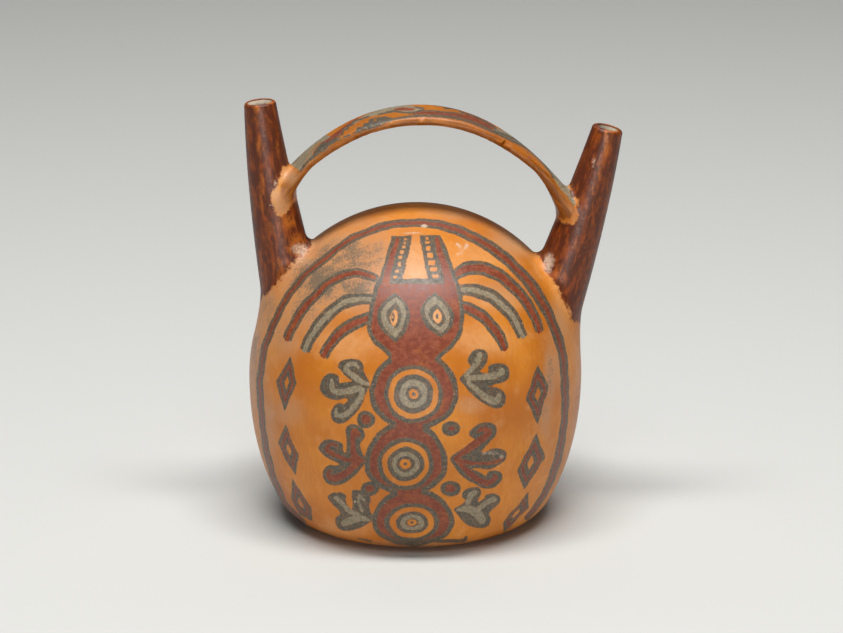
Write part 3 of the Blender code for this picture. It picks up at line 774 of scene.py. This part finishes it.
def bridge_gap(points):
    at = on_bridge(points)
    first = LEFT_SPOUT["bridge"][0] - BRIDGE_SINKS_IN
    last = RIGHT_SPOUT["bridge"][0] + BRIDGE_SINKS_IN
    to_end = np.minimum(at["x"] - first, last - at["x"])
    near_end = np.maximum(0, 1 - to_end / BRIDGE_FLARE_LENGTH)
    half = (BRIDGE_THICKNESS + BRIDGE_END_FLARE * near_end**BRIDGE_FLARE_POWER) / 2
    half_width = mixed(BRIDGE_WIDTH, BRIDGE_END_WIDTH, at["out"] ** BRIDGE_NARROWS_LATE) / 2
    beside = np.maximum(np.abs(at["sideways"]) - (half_width - half), 0)
    return np.sqrt(beside**2 + (at["above"] + half) ** 2 + at["past_end"] ** 2) - half


def vessel_gap(points):
    """How far points are outside the vessel's clay, with the hollow counted as clay."""
    gap = body_gap(points)
    for spout in (LEFT_SPOUT, RIGHT_SPOUT):
        gap = rounded_join(gap, spout_gap(points, spout), spout["fillet"])
    return rounded_join(gap, bridge_gap(points), BRIDGE_FILLET)


def hollow_gap(points):
    """How far points are outside the hollow and the two channels that lead to it."""
    gap = body_gap(points, BODY_WALL, FLOOR_WALL)
    for spout in (LEFT_SPOUT, RIGHT_SPOUT):
        gap = np.minimum(gap, bore_gap(points, spout))
    return gap


def pulled_on(gap_of, points):
    """Points moved down a gap's slope until the gap is nothing there."""
    for _ in range(SURFACE_STEPS):
        slope = np.zeros_like(points)
        for axis in range(3):
            step = np.zeros(3)
            step[axis] = SMALL_STEP
            slope[:, axis] = (gap_of(points + step) - gap_of(points - step)) / (2 * SMALL_STEP)
        steep = np.maximum((slope**2).sum(1), LEAST_STEEPNESS)
        move = gap_of(points) / steep
        far = np.abs(move) * np.sqrt(steep)
        move *= np.minimum(1, LONGEST_MOVE / np.maximum(far, SMALL_STEP**2))
        points = points - move[:, None] * slope
    return points


def skinned(gap_of, low, high, step):
    """Points and four-sided faces of the surface where a gap is nothing, one point in each crossed cell."""
    axes = [np.arange(a - 2 * step, b + 3 * step, step) for a, b in zip(low, high)]
    corners = np.stack(np.meshgrid(*axes, indexing="ij"), axis=-1)
    inside = gap_of(corners.reshape(-1, 3)).reshape(corners.shape[:3]) < 0
    cells = tuple(size - 1 for size in inside.shape)
    filled = np.zeros(cells, int)
    for shift in np.ndindex(2, 2, 2):
        filled += inside[tuple(slice(s, s + c) for s, c in zip(shift, cells))]
    crossed = (filled > 0) & (filled < 8)
    number = np.full(cells, -1)
    number[crossed] = np.arange(crossed.sum())
    points = np.argwhere(crossed) * step + [axis[0] + step / 2 for axis in axes]
    faces = []
    for axis in range(3):
        ahead = np.roll(inside, -1, axis)
        changes = np.argwhere(inside != ahead)
        changes = changes[(changes[:, axis] < inside.shape[axis] - 1) & (changes.min(1) > 0)]
        one, two = np.eye(3, dtype=int)[(axis + 1) % 3], np.eye(3, dtype=int)[(axis + 2) % 3]
        ring = [changes - one - two, changes - two, changes, changes - one]
        around = np.column_stack([number[tuple(cell.T)] for cell in ring])
        leaves_clay = inside[tuple(changes.T)]
        around[~leaves_clay] = around[~leaves_clay][:, ::-1]
        faces.append(around)
    return points, np.concatenate(faces)


def evened(gap_of, points, faces):
    """The same mesh with each point drawn to the middle of its neighbours, and back on to the surface."""
    edges = np.concatenate([faces[:, [k, (k + 1) % 4]] for k in range(4)])
    counts = np.bincount(edges.ravel(), minlength=len(points))[:, None]
    for _ in range(EVENING_ROUNDS):
        total = np.zeros_like(points)
        for axis in range(3):
            total[:, axis] += np.bincount(edges[:, 0], points[edges[:, 1], axis], len(points))
            total[:, axis] += np.bincount(edges[:, 1], points[edges[:, 0], axis], len(points))
        points = pulled_on(gap_of, mixed(points, total / counts, EVENING_SHARE))
    return points


def mesh_points(mesh):
    flat = np.empty(len(mesh.vertices) * 3)
    mesh.vertices.foreach_get("co", flat)
    return flat.reshape(-1, 3)


def made_finer(gap_of, mesh, chosen):
    """Divides the faces that are chosen, and lays their new points on the surface."""
    shape = bmesh.new()
    shape.from_mesh(mesh)
    shape.faces.ensure_lookup_table()
    edges = {edge for index in np.flatnonzero(chosen) for edge in shape.faces[index].edges}
    ordered = sorted(edges, key=lambda edge: edge.index)
    bmesh.ops.subdivide_edges(shape, edges=ordered, cuts=1, use_grid_fill=True)
    shape.to_mesh(mesh)
    shape.free()
    mesh.vertices.foreach_set("co", pulled_on(gap_of, mesh_points(mesh)).ravel())
    mesh.update()


def face_range(mesh, values):
    """The least and the greatest of a value at the points of each face."""
    corners = np.empty(len(mesh.loops), int)
    mesh.loops.foreach_get("vertex_index", corners)
    starts = np.empty(len(mesh.polygons), int)
    mesh.polygons.foreach_get("loop_start", starts)
    ordered = values[corners]
    return np.minimum.reduceat(ordered, starts), np.maximum.reduceat(ordered, starts)


def drawn_at(points, mirrored):
    """Where points lie on the drawing. Mirrored, a point at the back lies where the opposite one does."""
    off = points - np.array(VIEW_TARGET)
    y = -np.abs(off[:, 1]) if mirrored else off[:, 1]
    up = y * math.sin(VIEW_ELEVATION) + off[:, 2] * math.cos(VIEW_ELEVATION)
    away = y * math.cos(VIEW_ELEVATION) - off[:, 2] * math.sin(VIEW_ELEVATION)
    scale = POINTS_PER_METRE * VIEW_DISTANCE / (VIEW_DISTANCE + away)
    return np.column_stack([DRAWING_WIDE / 2 + off[:, 0] * scale, DRAWING_HIGH / 2 - up * scale])


def unsteady(at):
    """Places on the drawing, moved as by a hand that wavers."""
    moved = at.copy()
    for size, a, b, start in HAND_WOBBLES:
        moved[:, 0] += size * np.sin(a * at[:, 0] + b * at[:, 1] + start)
        moved[:, 1] += size * np.sin(b * at[:, 0] - a * at[:, 1] + 2 * start)
    return moved


def curved(points, closed=False):
    """A smooth curve through points, which may carry a width as a third number."""
    given = np.array(points, float)
    if closed:
        whole = np.vstack([given[-1:], given, given[:2]])
    else:
        whole = np.vstack([2 * given[0] - given[1], given, 2 * given[-1] - given[-2]])
    out = []
    for before, low, high, after in zip(whole, whole[1:], whole[2:], whole[3:]):
        for k in range(CURVE_STEPS):
            t = k / CURVE_STEPS
            out.append(
                low
                + 0.5 * t * (high - before)
                + t * t * (before - 2.5 * low + 2 * high - 0.5 * after)
                + 0.5 * t**3 * (3 * (low - high) + after - before)
            )
    if not closed:
        out.append(given[-1])
    return np.array(out)


def close_to(at, corners, reach):
    """The numbers of the places within reach of the upright box round some corners."""
    low, high = np.min(corners, axis=0) - reach, np.max(corners, axis=0) + reach
    return np.flatnonzero(((at > low) & (at < high)).all(axis=1))


def stroke(at, line, share=1.0, square=False, spill=0.0):
    """Distance outside a brush stroke whose points carry their half widths."""
    way = curved(line)
    gap = np.full(len(at), FAR)
    for a, b in zip(way, way[1:]):
        near = close_to(at, (a[:2], b[:2]), max(a[2], b[2]) + STROKE_REACH)
        run = b[:2] - a[:2]
        from_a = at[near] - a[:2]
        along = np.clip(from_a @ run / (run @ run), 0, 1)
        off = from_a - along[:, None] * run
        half = mixed(a[2], b[2], along) * share
        gap[near] = np.minimum(gap[near], np.hypot(off[:, 0], off[:, 1]) - half)
    if square:
        out = way[-1, :2] - way[-2, :2]
        gap = np.maximum(gap, (at - way[-1, :2]) @ out / np.hypot(*out) - spill)
    return gap


def patch(at, corners, smooth=False):
    """Distance outside a closed outline."""
    ring = curved(corners, closed=True) if smooth else np.array(corners, float)
    near = close_to(at, ring, STROKE_REACH)
    places = at[near]
    nearest = np.full(len(places), FAR)
    inside = np.zeros(len(places), bool)
    for a, b in zip(ring, np.roll(ring, -1, axis=0)):
        run = b - a
        off = places - a
        along = np.clip(off @ run / (run @ run), 0, 1)
        aside = off - along[:, None] * run
        nearest = np.minimum(nearest, np.hypot(aside[:, 0], aside[:, 1]))
        spans = (a[1] > places[:, 1]) != (b[1] > places[:, 1])
        rise = run[1] if run[1] else 1.0
        inside ^= spans & (places[:, 0] < a[0] + off[:, 1] / rise * run[0])
    gap = np.full(len(at), FAR)
    gap[near] = np.where(inside, -nearest, nearest)
    return gap


def oval(at, centre, across, up, down=None):
    """Distance outside an oval, which may reach further up than down."""
    off = at - np.array(centre)
    tall = np.where(off[:, 1] < 0, up, down or up)
    level = np.maximum(np.hypot(off[:, 0] / across, off[:, 1] / tall), SMALL_STEP)
    return np.hypot(off[:, 0], off[:, 1]) * (1 - 1 / level)


def leaf_outline(top, right, bottom, left):
    """An outline with a point at its top and bottom and a round side between them."""
    top, right, bottom, left = (np.array(corner) for corner in (top, right, bottom, left))
    middle = (top + bottom) / 2
    ring = []
    for start, side, end in ((top, right, bottom), (bottom, left, top)):
        pull = 2 * side - middle
        for k in range(2 * CURVE_STEPS):
            t = k / (2 * CURVE_STEPS)
            ring.append(start * (1 - t) ** 2 + pull * 2 * t * (1 - t) + end * t**2)
    return ring


def lay(slips, name, gap):
    """Lays one slip over what is there, or scrapes back to the orange ground when it has no name."""
    for other, distance in slips.items():
        if other == name:
            np.minimum(distance, gap, out=distance)
        else:
            np.maximum(distance, -gap, out=distance)


def no_slips(count):
    return {name: np.full(count, FAR) for name in SLIPS}


def lay_border_and_diamonds(slips, at):
    lay(slips, "dark", stroke(at, BORDER))
    lay(slips, "red", stroke(at, BORDER, BORDER_CORE))
    for diamond in DIAMONDS:
        corners = np.array(diamond)
        middle = corners.mean(axis=0)
        for name, share in DIAMOND_RINGS:
            lay(slips, name, patch(at, mixed(middle, corners, share)))


def lay_figure(slips, at):
    """The figure down the middle of the front: rays, head, joined ovals, jaws, eyes, leaves and dots."""
    for name, *line in RAYS:
        lay(slips, "dark", stroke(at, line, square=True))
        lay(slips, name, stroke(at, line, RAY_CORES[name], square=True, spill=RAY_CORE_SPILL))
    for leaf in LEAVES:
        lay(slips, "dark", patch(at, leaf["outline"], smooth=True))
        for lobe in leaf["lobes"]:
            lay(slips, leaf["core"], stroke(at, lobe))
        for line in leaf["over"]:
            lay(slips, "dark", stroke(at, line))
    for centre, reach, core_centre, core_reach in DOTS:
        lay(slips, "dark", oval(at, centre, *reach))
        lay(slips, "red", oval(at, core_centre, *core_reach))
    head = patch(at, HEAD)
    ovals = [oval(at, o["centre"], o["across"], o["up"], o["down"]) for o in OVALS]
    lay(slips, "dark", np.minimum.reduce([head, *ovals]))
    inner = [gap + o["outline"] for gap, o in zip(ovals, OVALS)]
    lay(slips, "red", np.minimum.reduce([head + HEAD_OUTLINE, *inner]))
    for neck in NECKS:
        lay(slips, "red", stroke(at, neck))
    for rings in RINGS:
        for name, reach in zip(RING_SLIPS, rings["reach"]):
            lay(slips, name, oval(at, rings["centre"], reach, reach * rings["flat"]))
    for jaw in (LEFT_JAW, RIGHT_JAW):
        lay(slips, "dark", patch(at, jaw))
    lay(slips, None, patch(at, JAW_GAP))
    lay(slips, "dark", stroke(at, JAW_LINE))
    for stripe in (LEFT_STRIPE, RIGHT_STRIPE):
        lay(slips, "red", stroke(at, stripe))
    for across, down, wide, high in TEETH:
        off = np.abs(at - np.array((across, down))) - np.array((wide, high)) / 2
        lay(slips, None, off.max(axis=1))
    for name, *corners in EYES:
        lay(slips, name, patch(at, leaf_outline(*corners)))
    for line in BASE_LINES:
        lay(slips, "dark", stroke(at, line))


def soft_marks(at, marks):
    """How strongly any of a list of soft marks shows at places on the drawing."""
    most = np.zeros(len(at))
    for across, down, reach_across, reach_down, strength in marks:
        off = (at - np.array((across, down))) / np.array((reach_across, reach_down))
        most = np.maximum(most, strength * np.exp(-((off**2).sum(1) ** MARK_STEEPNESS)))
    return most


def painted(points):
    """What each point of the clay carries: distances to the slips' edges, and strengths of soft marks."""
    at = drawn_at(points, mirrored=True)
    wavering = unsteady(at)
    at_bridge = drawn_at(points, mirrored=False)
    spouts = np.minimum(spout_gap(points, LEFT_SPOUT), spout_gap(points, RIGHT_SPOUT))
    off_bridge = (bridge_gap(points) - np.minimum(spouts, body_gap(points))) * POINTS_PER_METRE / 2
    underneath = (-on_bridge(points)["above"] - BRIDGE_THICKNESS / 2) * POINTS_PER_METRE

    body = no_slips(len(points))
    lay_border_and_diamonds(body, wavering)
    front = np.flatnonzero(points[:, 1] < SKIN_STEP)
    figure = no_slips(len(front))
    lay_figure(figure, wavering[front])
    behind = points[front, 1] * POINTS_PER_METRE
    low = (PAINTED_DOWN_TO - points[:, 2]) * POINTS_PER_METRE
    for name, gap in body.items():
        gap[front] = np.minimum(gap[front], np.maximum(figure[name], behind))
        gap[:] = np.maximum(gap, low)

    bridge = no_slips(len(points))
    for name, *corners in BRIDGE_AREAS:
        lay(bridge, name, patch(at_bridge, corners))
    for name, *line in BRIDGE_STROKES:
        lay(bridge, name, stroke(at_bridge, line))
    lay(bridge, "dark", stroke(at_bridge, BRIDGE_LINE))
    values = {}
    for name in body:
        on_strap = np.maximum(bridge[name], np.maximum(off_bridge, underneath))
        values[name] = np.minimum(np.maximum(body[name], -off_bridge), on_strap)
    slip = np.minimum(patch(wavering, LEFT_SLIP, True), patch(wavering, RIGHT_SLIP, True))
    values["maroon"] = np.maximum(slip, -off_bridge)
    # The strap's brown, partly painted shade, grows towards its underside and towards the right
    deeper = mixed(LEFT_BROWN, 1.0, np.clip(0.5 + points[:, 0] / BROWN_LENGTH, 0, 1))
    brown_and_shade = np.clip((underneath + BROWN_STARTS) / BROWN_GROWS, 0, 1)
    values["strap_side_and_shade"] = brown_and_shade * deeper * (off_bridge < 0)
    # The soft marks. Among them are painted shade, painted highlights and painted sheen
    seen = np.clip(1 - points[:, 1] / MARKS_FADE_OVER, 0, 1)
    values["smoke_and_shade"] = soft_marks(at, SMOKE_AND_SHADE) * mixed(BACK_SMOKE_AND_SHADE, 1.0, seen)
    values["pale_dust_and_highlight"] = soft_marks(at, PALE_DUST_AND_HIGHLIGHTS) * seen
    values["faded_and_sheen"] = soft_marks(at, FADED_AND_SHEEN) * seen
    values["bare"] = soft_marks(at, BARE_AND_HIGHLIGHTS) * mixed(BACK_BARE_AND_HIGHLIGHT, 1.0, seen)
    return values


def spout_grain(points):
    """Places squeezed along the nearer spout, or along the strap, so that marks there run lengthwise."""
    grain = points.copy()
    line = on_bridge(points)
    strap = bridge_gap(points) < SKIN_STEP / 2
    for spout in (LEFT_SPOUT, RIGHT_SPOUT):
        way = np.array(spout["rim"]) - np.array(spout["foot"])
        way /= np.linalg.norm(way)
        near = np.sign(spout["rim"][0]) == np.sign(points[:, 0])
        grain[near] -= SPOUT_SQUEEZED_OUT * (points[near] @ way)[:, None] * way
    along = np.stack((line["x"] * STRAP_GRAIN_SHARE, line["sideways"], line["above"]), axis=1)
    grain[strap] = along[strap]
    return grain


def below_rims(points):
    """How far points are below the nearer spout's rim, along the spout."""
    below = np.zeros(len(points))
    for spout in (LEFT_SPOUT, RIGHT_SPOUT):
        near = np.sign(spout["rim"][0]) == np.sign(points[:, 0])
        below[near] = -along_spout(points[near], spout)[2]
    return below


def faces_near_rims(mesh, zone):
    points = mesh_points(mesh)
    rims = [np.array(spout["rim"]) for spout in (LEFT_SPOUT, RIGHT_SPOUT)]
    off = np.minimum.reduce([np.linalg.norm(points - rim, axis=1) for rim in rims])
    return face_range(mesh, off)[0] < zone


def mesh_of(name, gap_of, low, high, step):
    points, faces = skinned(gap_of, low, high, step)
    points = evened(gap_of, pulled_on(gap_of, points), faces)
    mesh = bpy.data.meshes.new(name)
    mesh.from_pydata(points.tolist(), [], faces.tolist())
    return mesh


def hollow_mesh(low, high):
    """The inside of the body and of the spouts, as a closed mesh that is finer at the mouths."""
    mesh = mesh_of("hollow", hollow_gap, low, high, HOLLOW_STEP)
    for _ in range(HOLLOW_FINE_ROUNDS):
        made_finer(hollow_gap, mesh, faces_near_rims(mesh, MOUTH_ZONE))
    return mesh


def vessel_mesh(low, high):
    """The outside, finer along the slips' edges, at the rims, on the bridge and under the maroon."""
    mesh = mesh_of("vessel_clay", vessel_gap, low, high, SKIN_STEP)
    for level, share in enumerate(EDGE_MARGINS):
        points = mesh_points(mesh)
        values = painted(points)
        margin = share * SKIN_STEP / 2**level * POINTS_PER_METRE
        on_edge = np.zeros(len(mesh.polygons), bool)
        for name in SLIPS if level else (*SLIPS, "maroon"):
            least, most = face_range(mesh, values[name])
            on_edge |= (least < margin) & (most > -margin)
        if level:
            on_edge &= face_range(mesh, points[:, 1])[0] < SECOND_ROUND_UP_TO
        else:
            on_edge |= face_range(mesh, bridge_gap(points))[0] < LIP_ROUND
            on_edge |= face_range(mesh, values["maroon"])[0] < 0
        made_finer(vessel_gap, mesh, on_edge | faces_near_rims(mesh, RIM_ZONE))
    return mesh


def added(tree, kind, inputs=None, **settings):
    """A new node with these settings, its inputs set to numbers or linked from other nodes' outputs."""
    node = tree.nodes.new(kind)
    for name, value in settings.items():
        setattr(node, name, value)
    for name, value in (inputs or {}).items():
        if isinstance(value, bpy.types.NodeSocket):
            tree.links.new(value, node.inputs[name])
        else:
            node.inputs[name].default_value = value
    return node


def calculated(tree, operation, first, second=0.0, clamped=False):
    node = added(tree, "ShaderNodeMath", {0: first, 1: second}, operation=operation, use_clamp=clamped)
    return node.outputs[0]


def plus(tree, first, second, clamped=False):
    return calculated(tree, "ADD", first, second, clamped)


def times(tree, first, second, clamped=False):
    return calculated(tree, "MULTIPLY", first, second, clamped)


def ranged(tree, value, low, high, to_low=0.0, to_high=1.0):
    """A value carried smoothly from one range to another."""
    inputs = {"Value": value, 1: low, 2: high, 3: to_low, 4: to_high}
    return added(tree, "ShaderNodeMapRange", inputs, interpolation_type="SMOOTHSTEP").outputs[0]


def shown(tree, value, name):
    return ranged(tree, value, *RANGES[name])


def tinted(tree, share, low, high):
    """A colour between two others."""
    inputs = {0: share}
    for slot, colour in ((6, low), (7, high)):
        inputs[slot] = colour if isinstance(colour, bpy.types.NodeSocket) else (*colour, 1.0)
    return added(tree, "ShaderNodeMix", inputs, data_type="RGBA").outputs[2]


def noise(tree, place, scale, detail, roughness):
    inputs = {"Vector": place, "Scale": scale, "Detail": detail, "Roughness": roughness}
    return added(tree, "ShaderNodeTexNoise", inputs).outputs[0]


def patchy(tree, strength, unevenness):
    """A soft mark's strength broken up by a noise, to be cut off at a level."""
    return plus(tree, strength, times(tree, unevenness, PATCHINESS))


def value_of(tree, name):
    return added(tree, "ShaderNodeAttribute", attribute_name=name).outputs["Fac"]


def painted_clay():
    """Burnished clay under coloured slips, with the slips' edges read from the mesh."""
    material = bpy.data.materials.new("painted_clay")
    material.use_nodes = True
    tree = material.node_tree
    shader = tree.nodes["Principled BSDF"]
    place = added(tree, "ShaderNodeTexCoord").outputs["Object"]
    noises = (noise(tree, place, *kind) for kind in NOISES.values())
    broad, middle, small, fine, speck, gritty, sooty = noises
    upright = added(tree, "ShaderNodeMapping", {"Vector": place, "Scale": UPRIGHT_SCALE}).outputs[0]
    burnish = noise(tree, upright, *UPRIGHT_NOISE)
    grain = added(tree, "ShaderNodeAttribute", attribute_name="grain").outputs["Vector"]
    strap_streaks = noise(tree, grain, *STRAP_NOISE)
    lengthwise = noise(tree, grain, *LENGTHWISE_NOISE)
    lengthwise_broad = noise(tree, grain, *LENGTHWISE_BROAD_NOISE)

    ragged = shown(tree, fine, "ragged_edge")
    worn = shown(tree, small, "worn_edge")
    worn = plus(tree, shown(tree, middle, "worn_edge_broad"), worn)
    masks = {}
    for name, grown, uneven, soft in (
        ("red", SLIP_SPREAD, ragged, EDGE_SOFT),
        ("grey", SLIP_SPREAD, ragged, EDGE_SOFT),
        ("dark", 0.0, ragged, EDGE_SOFT),
        ("maroon", 0.0, worn, MAROON_EDGE_SOFT),
    ):
        edge = plus(tree, value_of(tree, name), uneven)
        masks[name] = ranged(tree, edge, grown + soft, grown - soft)
    thin = shown(tree, small, "thin_dark")
    masks["dark"] = times(tree, masks["dark"], thin)

    ground = tinted(tree, shown(tree, broad, "ground"), ORANGE_DEEP, ORANGE)
    ground = tinted(tree, shown(tree, middle, "pale_ground"), ground, ORANGE_PALE)
    ground = tinted(tree, shown(tree, burnish, "burnished_ground"), ground, ORANGE_DEEP)
    # Faded ground, and painted sheen on the head and in the eyes, lighten the orange
    faded_and_sheen = times(tree, value_of(tree, "faded_and_sheen"), shown(tree, small, "uneven_fading_and_sheen"))
    ground = tinted(tree, faded_and_sheen, ground, ORANGE_PALE)
    # The strap's brown, partly painted shade on its underside, is streaked along the strap
    streaks = shown(tree, strap_streaks, "strap_streaks")
    brown_and_shade = times(tree, value_of(tree, "strap_side_and_shade"), streaks)
    ground = tinted(tree, brown_and_shade, ground, STRAP_BROWN_AND_SHADE)
    # Soot tints and greys the ground, and painted shade along the bottom does the same
    smoky_and_shaded = times(tree, value_of(tree, "smoke_and_shade"), shown(tree, middle, "uneven_smoke_and_shade"))
    ground = tinted(tree, times(tree, smoky_and_shaded, SMOKE_AND_SHADE_TINT, clamped=True), ground, ORANGE_SMOKED_AND_SHADED)
    smoke_and_shade = shown(tree, patchy(tree, smoky_and_shaded, sooty), "smoke_and_shade")
    smoke_and_shade = plus(tree, smoke_and_shade, times(tree, smoky_and_shaded, SMOKE_AND_SHADE_VEIL))
    smoke_and_shade = plus(tree, smoke_and_shade, shown(tree, fine, "soot_specks"), clamped=True)
    ground = tinted(tree, smoke_and_shade, ground, SMOKE_AND_SHADE_GREY)

    red = tinted(tree, shown(tree, small, "red"), RED, RED_LIGHT)
    red = tinted(tree, shown(tree, middle, "worn_red"), red, ORANGE_DEEP)
    grey = tinted(tree, shown(tree, gritty, "grey"), GREY, GREY_LIGHT)
    dark = tinted(tree, shown(tree, gritty, "dark"), DARK, DARK_LIGHT)
    maroon = tinted(tree, shown(tree, lengthwise, "maroon"), MAROON, MAROON_LIGHT)
    maroon = tinted(tree, shown(tree, middle, "deep_maroon"), maroon, MAROON)
    # Rubbed slip, with painted highlights on the spouts' feet
    rubbed_and_highlight = shown(tree, patchy(tree, value_of(tree, "bare"), lengthwise), "rubbed_and_highlight")
    rubbed_and_highlight = plus(tree, rubbed_and_highlight, shown(tree, lengthwise_broad, "rubbed_broad"), clamped=True)
    rubbed_and_highlight = times(tree, rubbed_and_highlight, shown(tree, gritty, "uneven_rubbing"))
    maroon = tinted(tree, rubbed_and_highlight, maroon, MAROON_WORN_AND_HIGHLIGHT)

    colour = tinted(tree, masks["red"], ground, red)
    colour = tinted(tree, masks["grey"], colour, grey)
    colour = tinted(tree, masks["dark"], colour, dark)
    colour = tinted(tree, masks["maroon"], colour, maroon)
    lined = calculated(tree, "MAXIMUM", masks["dark"], masks["grey"])
    flecks = times(tree, lined, shown(tree, speck, "flecks"))
    # Pale dust and painted highlights, joined with the pale flecks on the lines
    dust_and_highlight = shown(tree, patchy(tree, value_of(tree, "pale_dust_and_highlight"), gritty), "dust_and_highlight")
    dusty_and_highlit = calculated(tree, "MAXIMUM", flecks, dust_and_highlight, clamped=True)
    colour = tinted(tree, dusty_and_highlit, colour, PALE_DUST_AND_HIGHLIGHT)
    tree.links.new(colour, shader.inputs["Base Color"])

    roughness = shown(tree, small, "roughness")
    roughness = plus(tree, roughness, times(tree, dusty_and_highlit, DUST_AND_HIGHLIGHT_ROUGHER))
    tree.links.new(roughness, shader.inputs["Roughness"])
    shader.inputs["Specular IOR Level"].default_value = SPECULAR

    height = times(tree, middle, MIDDLE_RELIEF)
    for rise, relief in ((small, SMALL_RELIEF), (burnish, BURNISH_RELIEF), (lined, LINE_RELIEF)):
        height = plus(tree, height, times(tree, rise, relief))
    bump = added(tree, "ShaderNodeBump", {**BUMP, "Height": height})
    tree.links.new(bump.outputs["Normal"], shader.inputs["Normal"])
    return material


def bare_clay():
    """The unpainted clay inside."""
    material = bpy.data.materials.new("bare_clay")
    material.use_nodes = True
    tree = material.node_tree
    shader = tree.nodes["Principled BSDF"]
    place = added(tree, "ShaderNodeTexCoord").outputs["Object"]
    middle = noise(tree, place, *INSIDE_NOISE)
    colour = tinted(tree, shown(tree, middle, "inside"), CLAY, CLAY_PALE)
    depth = plus(tree, value_of(tree, "below_rim"), times(tree, middle, INSIDE_UNEVEN))
    colour = tinted(tree, ranged(tree, depth, *LIP_RED_ENDS), colour, LIP_RED)
    colour = tinted(tree, ranged(tree, depth, *ORANGE_ENDS), colour, ORANGE_DEEP)
    tree.links.new(colour, shader.inputs["Base Color"])
    tree.links.new(shown(tree, middle, "inside_roughness"), shader.inputs["Roughness"])
    bump = added(tree, "ShaderNodeBump", {**INSIDE_BUMP, "Height": middle})
    tree.links.new(bump.outputs["Normal"], shader.inputs["Normal"])
    return material


def build_vessel(low, high):
    inside = bpy.data.objects.new("hollow", hollow_mesh(low, high))
    vessel = bpy.data.objects.new("vessel_clay", vessel_mesh(low, high))
    for obj in (vessel, inside):
        bpy.context.scene.collection.objects.link(obj)
    vessel.data.materials.append(painted_clay())
    inside.data.materials.append(bare_clay())
    cut = vessel.modifiers.new("hollow", "BOOLEAN")
    cut.operation = "DIFFERENCE"
    cut.solver = "EXACT"
    cut.material_mode = "TRANSFER"
    cut.object = inside
    bpy.context.view_layer.objects.active = vessel
    bpy.ops.object.modifier_apply(modifier=cut.name)
    bpy.data.objects.remove(inside, do_unlink=True)
    mesh = vessel.data
    shape = bmesh.new()
    shape.from_mesh(mesh)
    bmesh.ops.triangulate(shape, faces=shape.faces)
    shape.to_mesh(mesh)
    shape.free()
    points = mesh_points(mesh)
    for name, value in painted(points).items():
        mesh.attributes.new(name, "FLOAT", "POINT").data.foreach_set("value", value)
    mesh.attributes.new("below_rim", "FLOAT", "POINT").data.foreach_set("value", below_rims(points))
    grain = mesh.attributes.new("grain", "FLOAT_VECTOR", "POINT")
    grain.data.foreach_set("vector", spout_grain(points).ravel())
    mesh.shade_smooth()
    mesh.set_sharp_from_angle(angle=SHARP_FROM)
    return vessel


def build_stage():
    """A pale floor that fills the view, a long soft light overhead, and weaker ones in front and behind."""
    mesh = bpy.data.meshes.new("floor")
    corners = [(-1, -1), (1, -1), (1, 1), (-1, 1)]
    mesh.from_pydata([(x * FLOOR_HALF, y * FLOOR_HALF, 0.0) for x, y in corners], [], [(0, 1, 2, 3)])
    floor = bpy.data.objects.new("floor", mesh)
    bpy.context.scene.collection.objects.link(floor)
    material = bpy.data.materials.new("studio_floor")
    material.use_nodes = True
    shader = material.node_tree.nodes["Principled BSDF"]
    shader.inputs["Base Color"].default_value = (*FLOOR_COLOUR, 1.0)
    shader.inputs["Roughness"].default_value = FLOOR_ROUGHNESS
    mesh.materials.append(material)
    for name, (place, wide, deep, power) in LIGHTS.items():
        data = bpy.data.lights.new(name, "AREA")
        data.shape = "RECTANGLE"
        data.size = wide
        data.size_y = deep
        data.energy = power
        light = bpy.data.objects.new(name, data)
        light.location = place
        towards = Vector(VIEW_TARGET) - Vector(place)
        light.rotation_euler = towards.to_track_quat("-Z", "Y").to_euler()
        bpy.context.scene.collection.objects.link(light)
    world = bpy.data.worlds.new("studio")
    world.use_nodes = True
    background = world.node_tree.nodes["Background"]
    background.inputs["Color"].default_value = (1.0, 1.0, 1.0, 1.0)
    background.inputs["Strength"].default_value = WORLD_STRENGTH
    bpy.context.scene.world = world
    bpy.context.scene.view_settings.view_transform = "Standard"


def build_camera():
    data = bpy.data.cameras.new("camera")
    data.sensor_width = SENSOR_WIDTH
    data.lens = POINTS_PER_METRE * VIEW_DISTANCE / DRAWING_WIDE * SENSOR_WIDTH
    camera = bpy.data.objects.new("camera", data)
    back = Vector((0.0, -math.cos(VIEW_ELEVATION), math.sin(VIEW_ELEVATION)))
    camera.location = Vector(VIEW_TARGET) + back * VIEW_DISTANCE
    camera.rotation_euler = (-back).to_track_quat("-Z", "Y").to_euler()
    bpy.context.scene.collection.objects.link(camera)
    bpy.context.scene.camera = camera


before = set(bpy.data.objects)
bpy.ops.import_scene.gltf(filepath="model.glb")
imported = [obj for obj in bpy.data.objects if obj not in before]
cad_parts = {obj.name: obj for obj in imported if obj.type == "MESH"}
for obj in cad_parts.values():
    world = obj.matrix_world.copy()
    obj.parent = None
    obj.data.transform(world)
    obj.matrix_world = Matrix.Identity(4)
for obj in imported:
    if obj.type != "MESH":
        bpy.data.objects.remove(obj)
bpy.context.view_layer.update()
build_camera()
vessel = build_vessel(*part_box("vessel"))
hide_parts("vessel")
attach(vessel, "root")
build_stage()
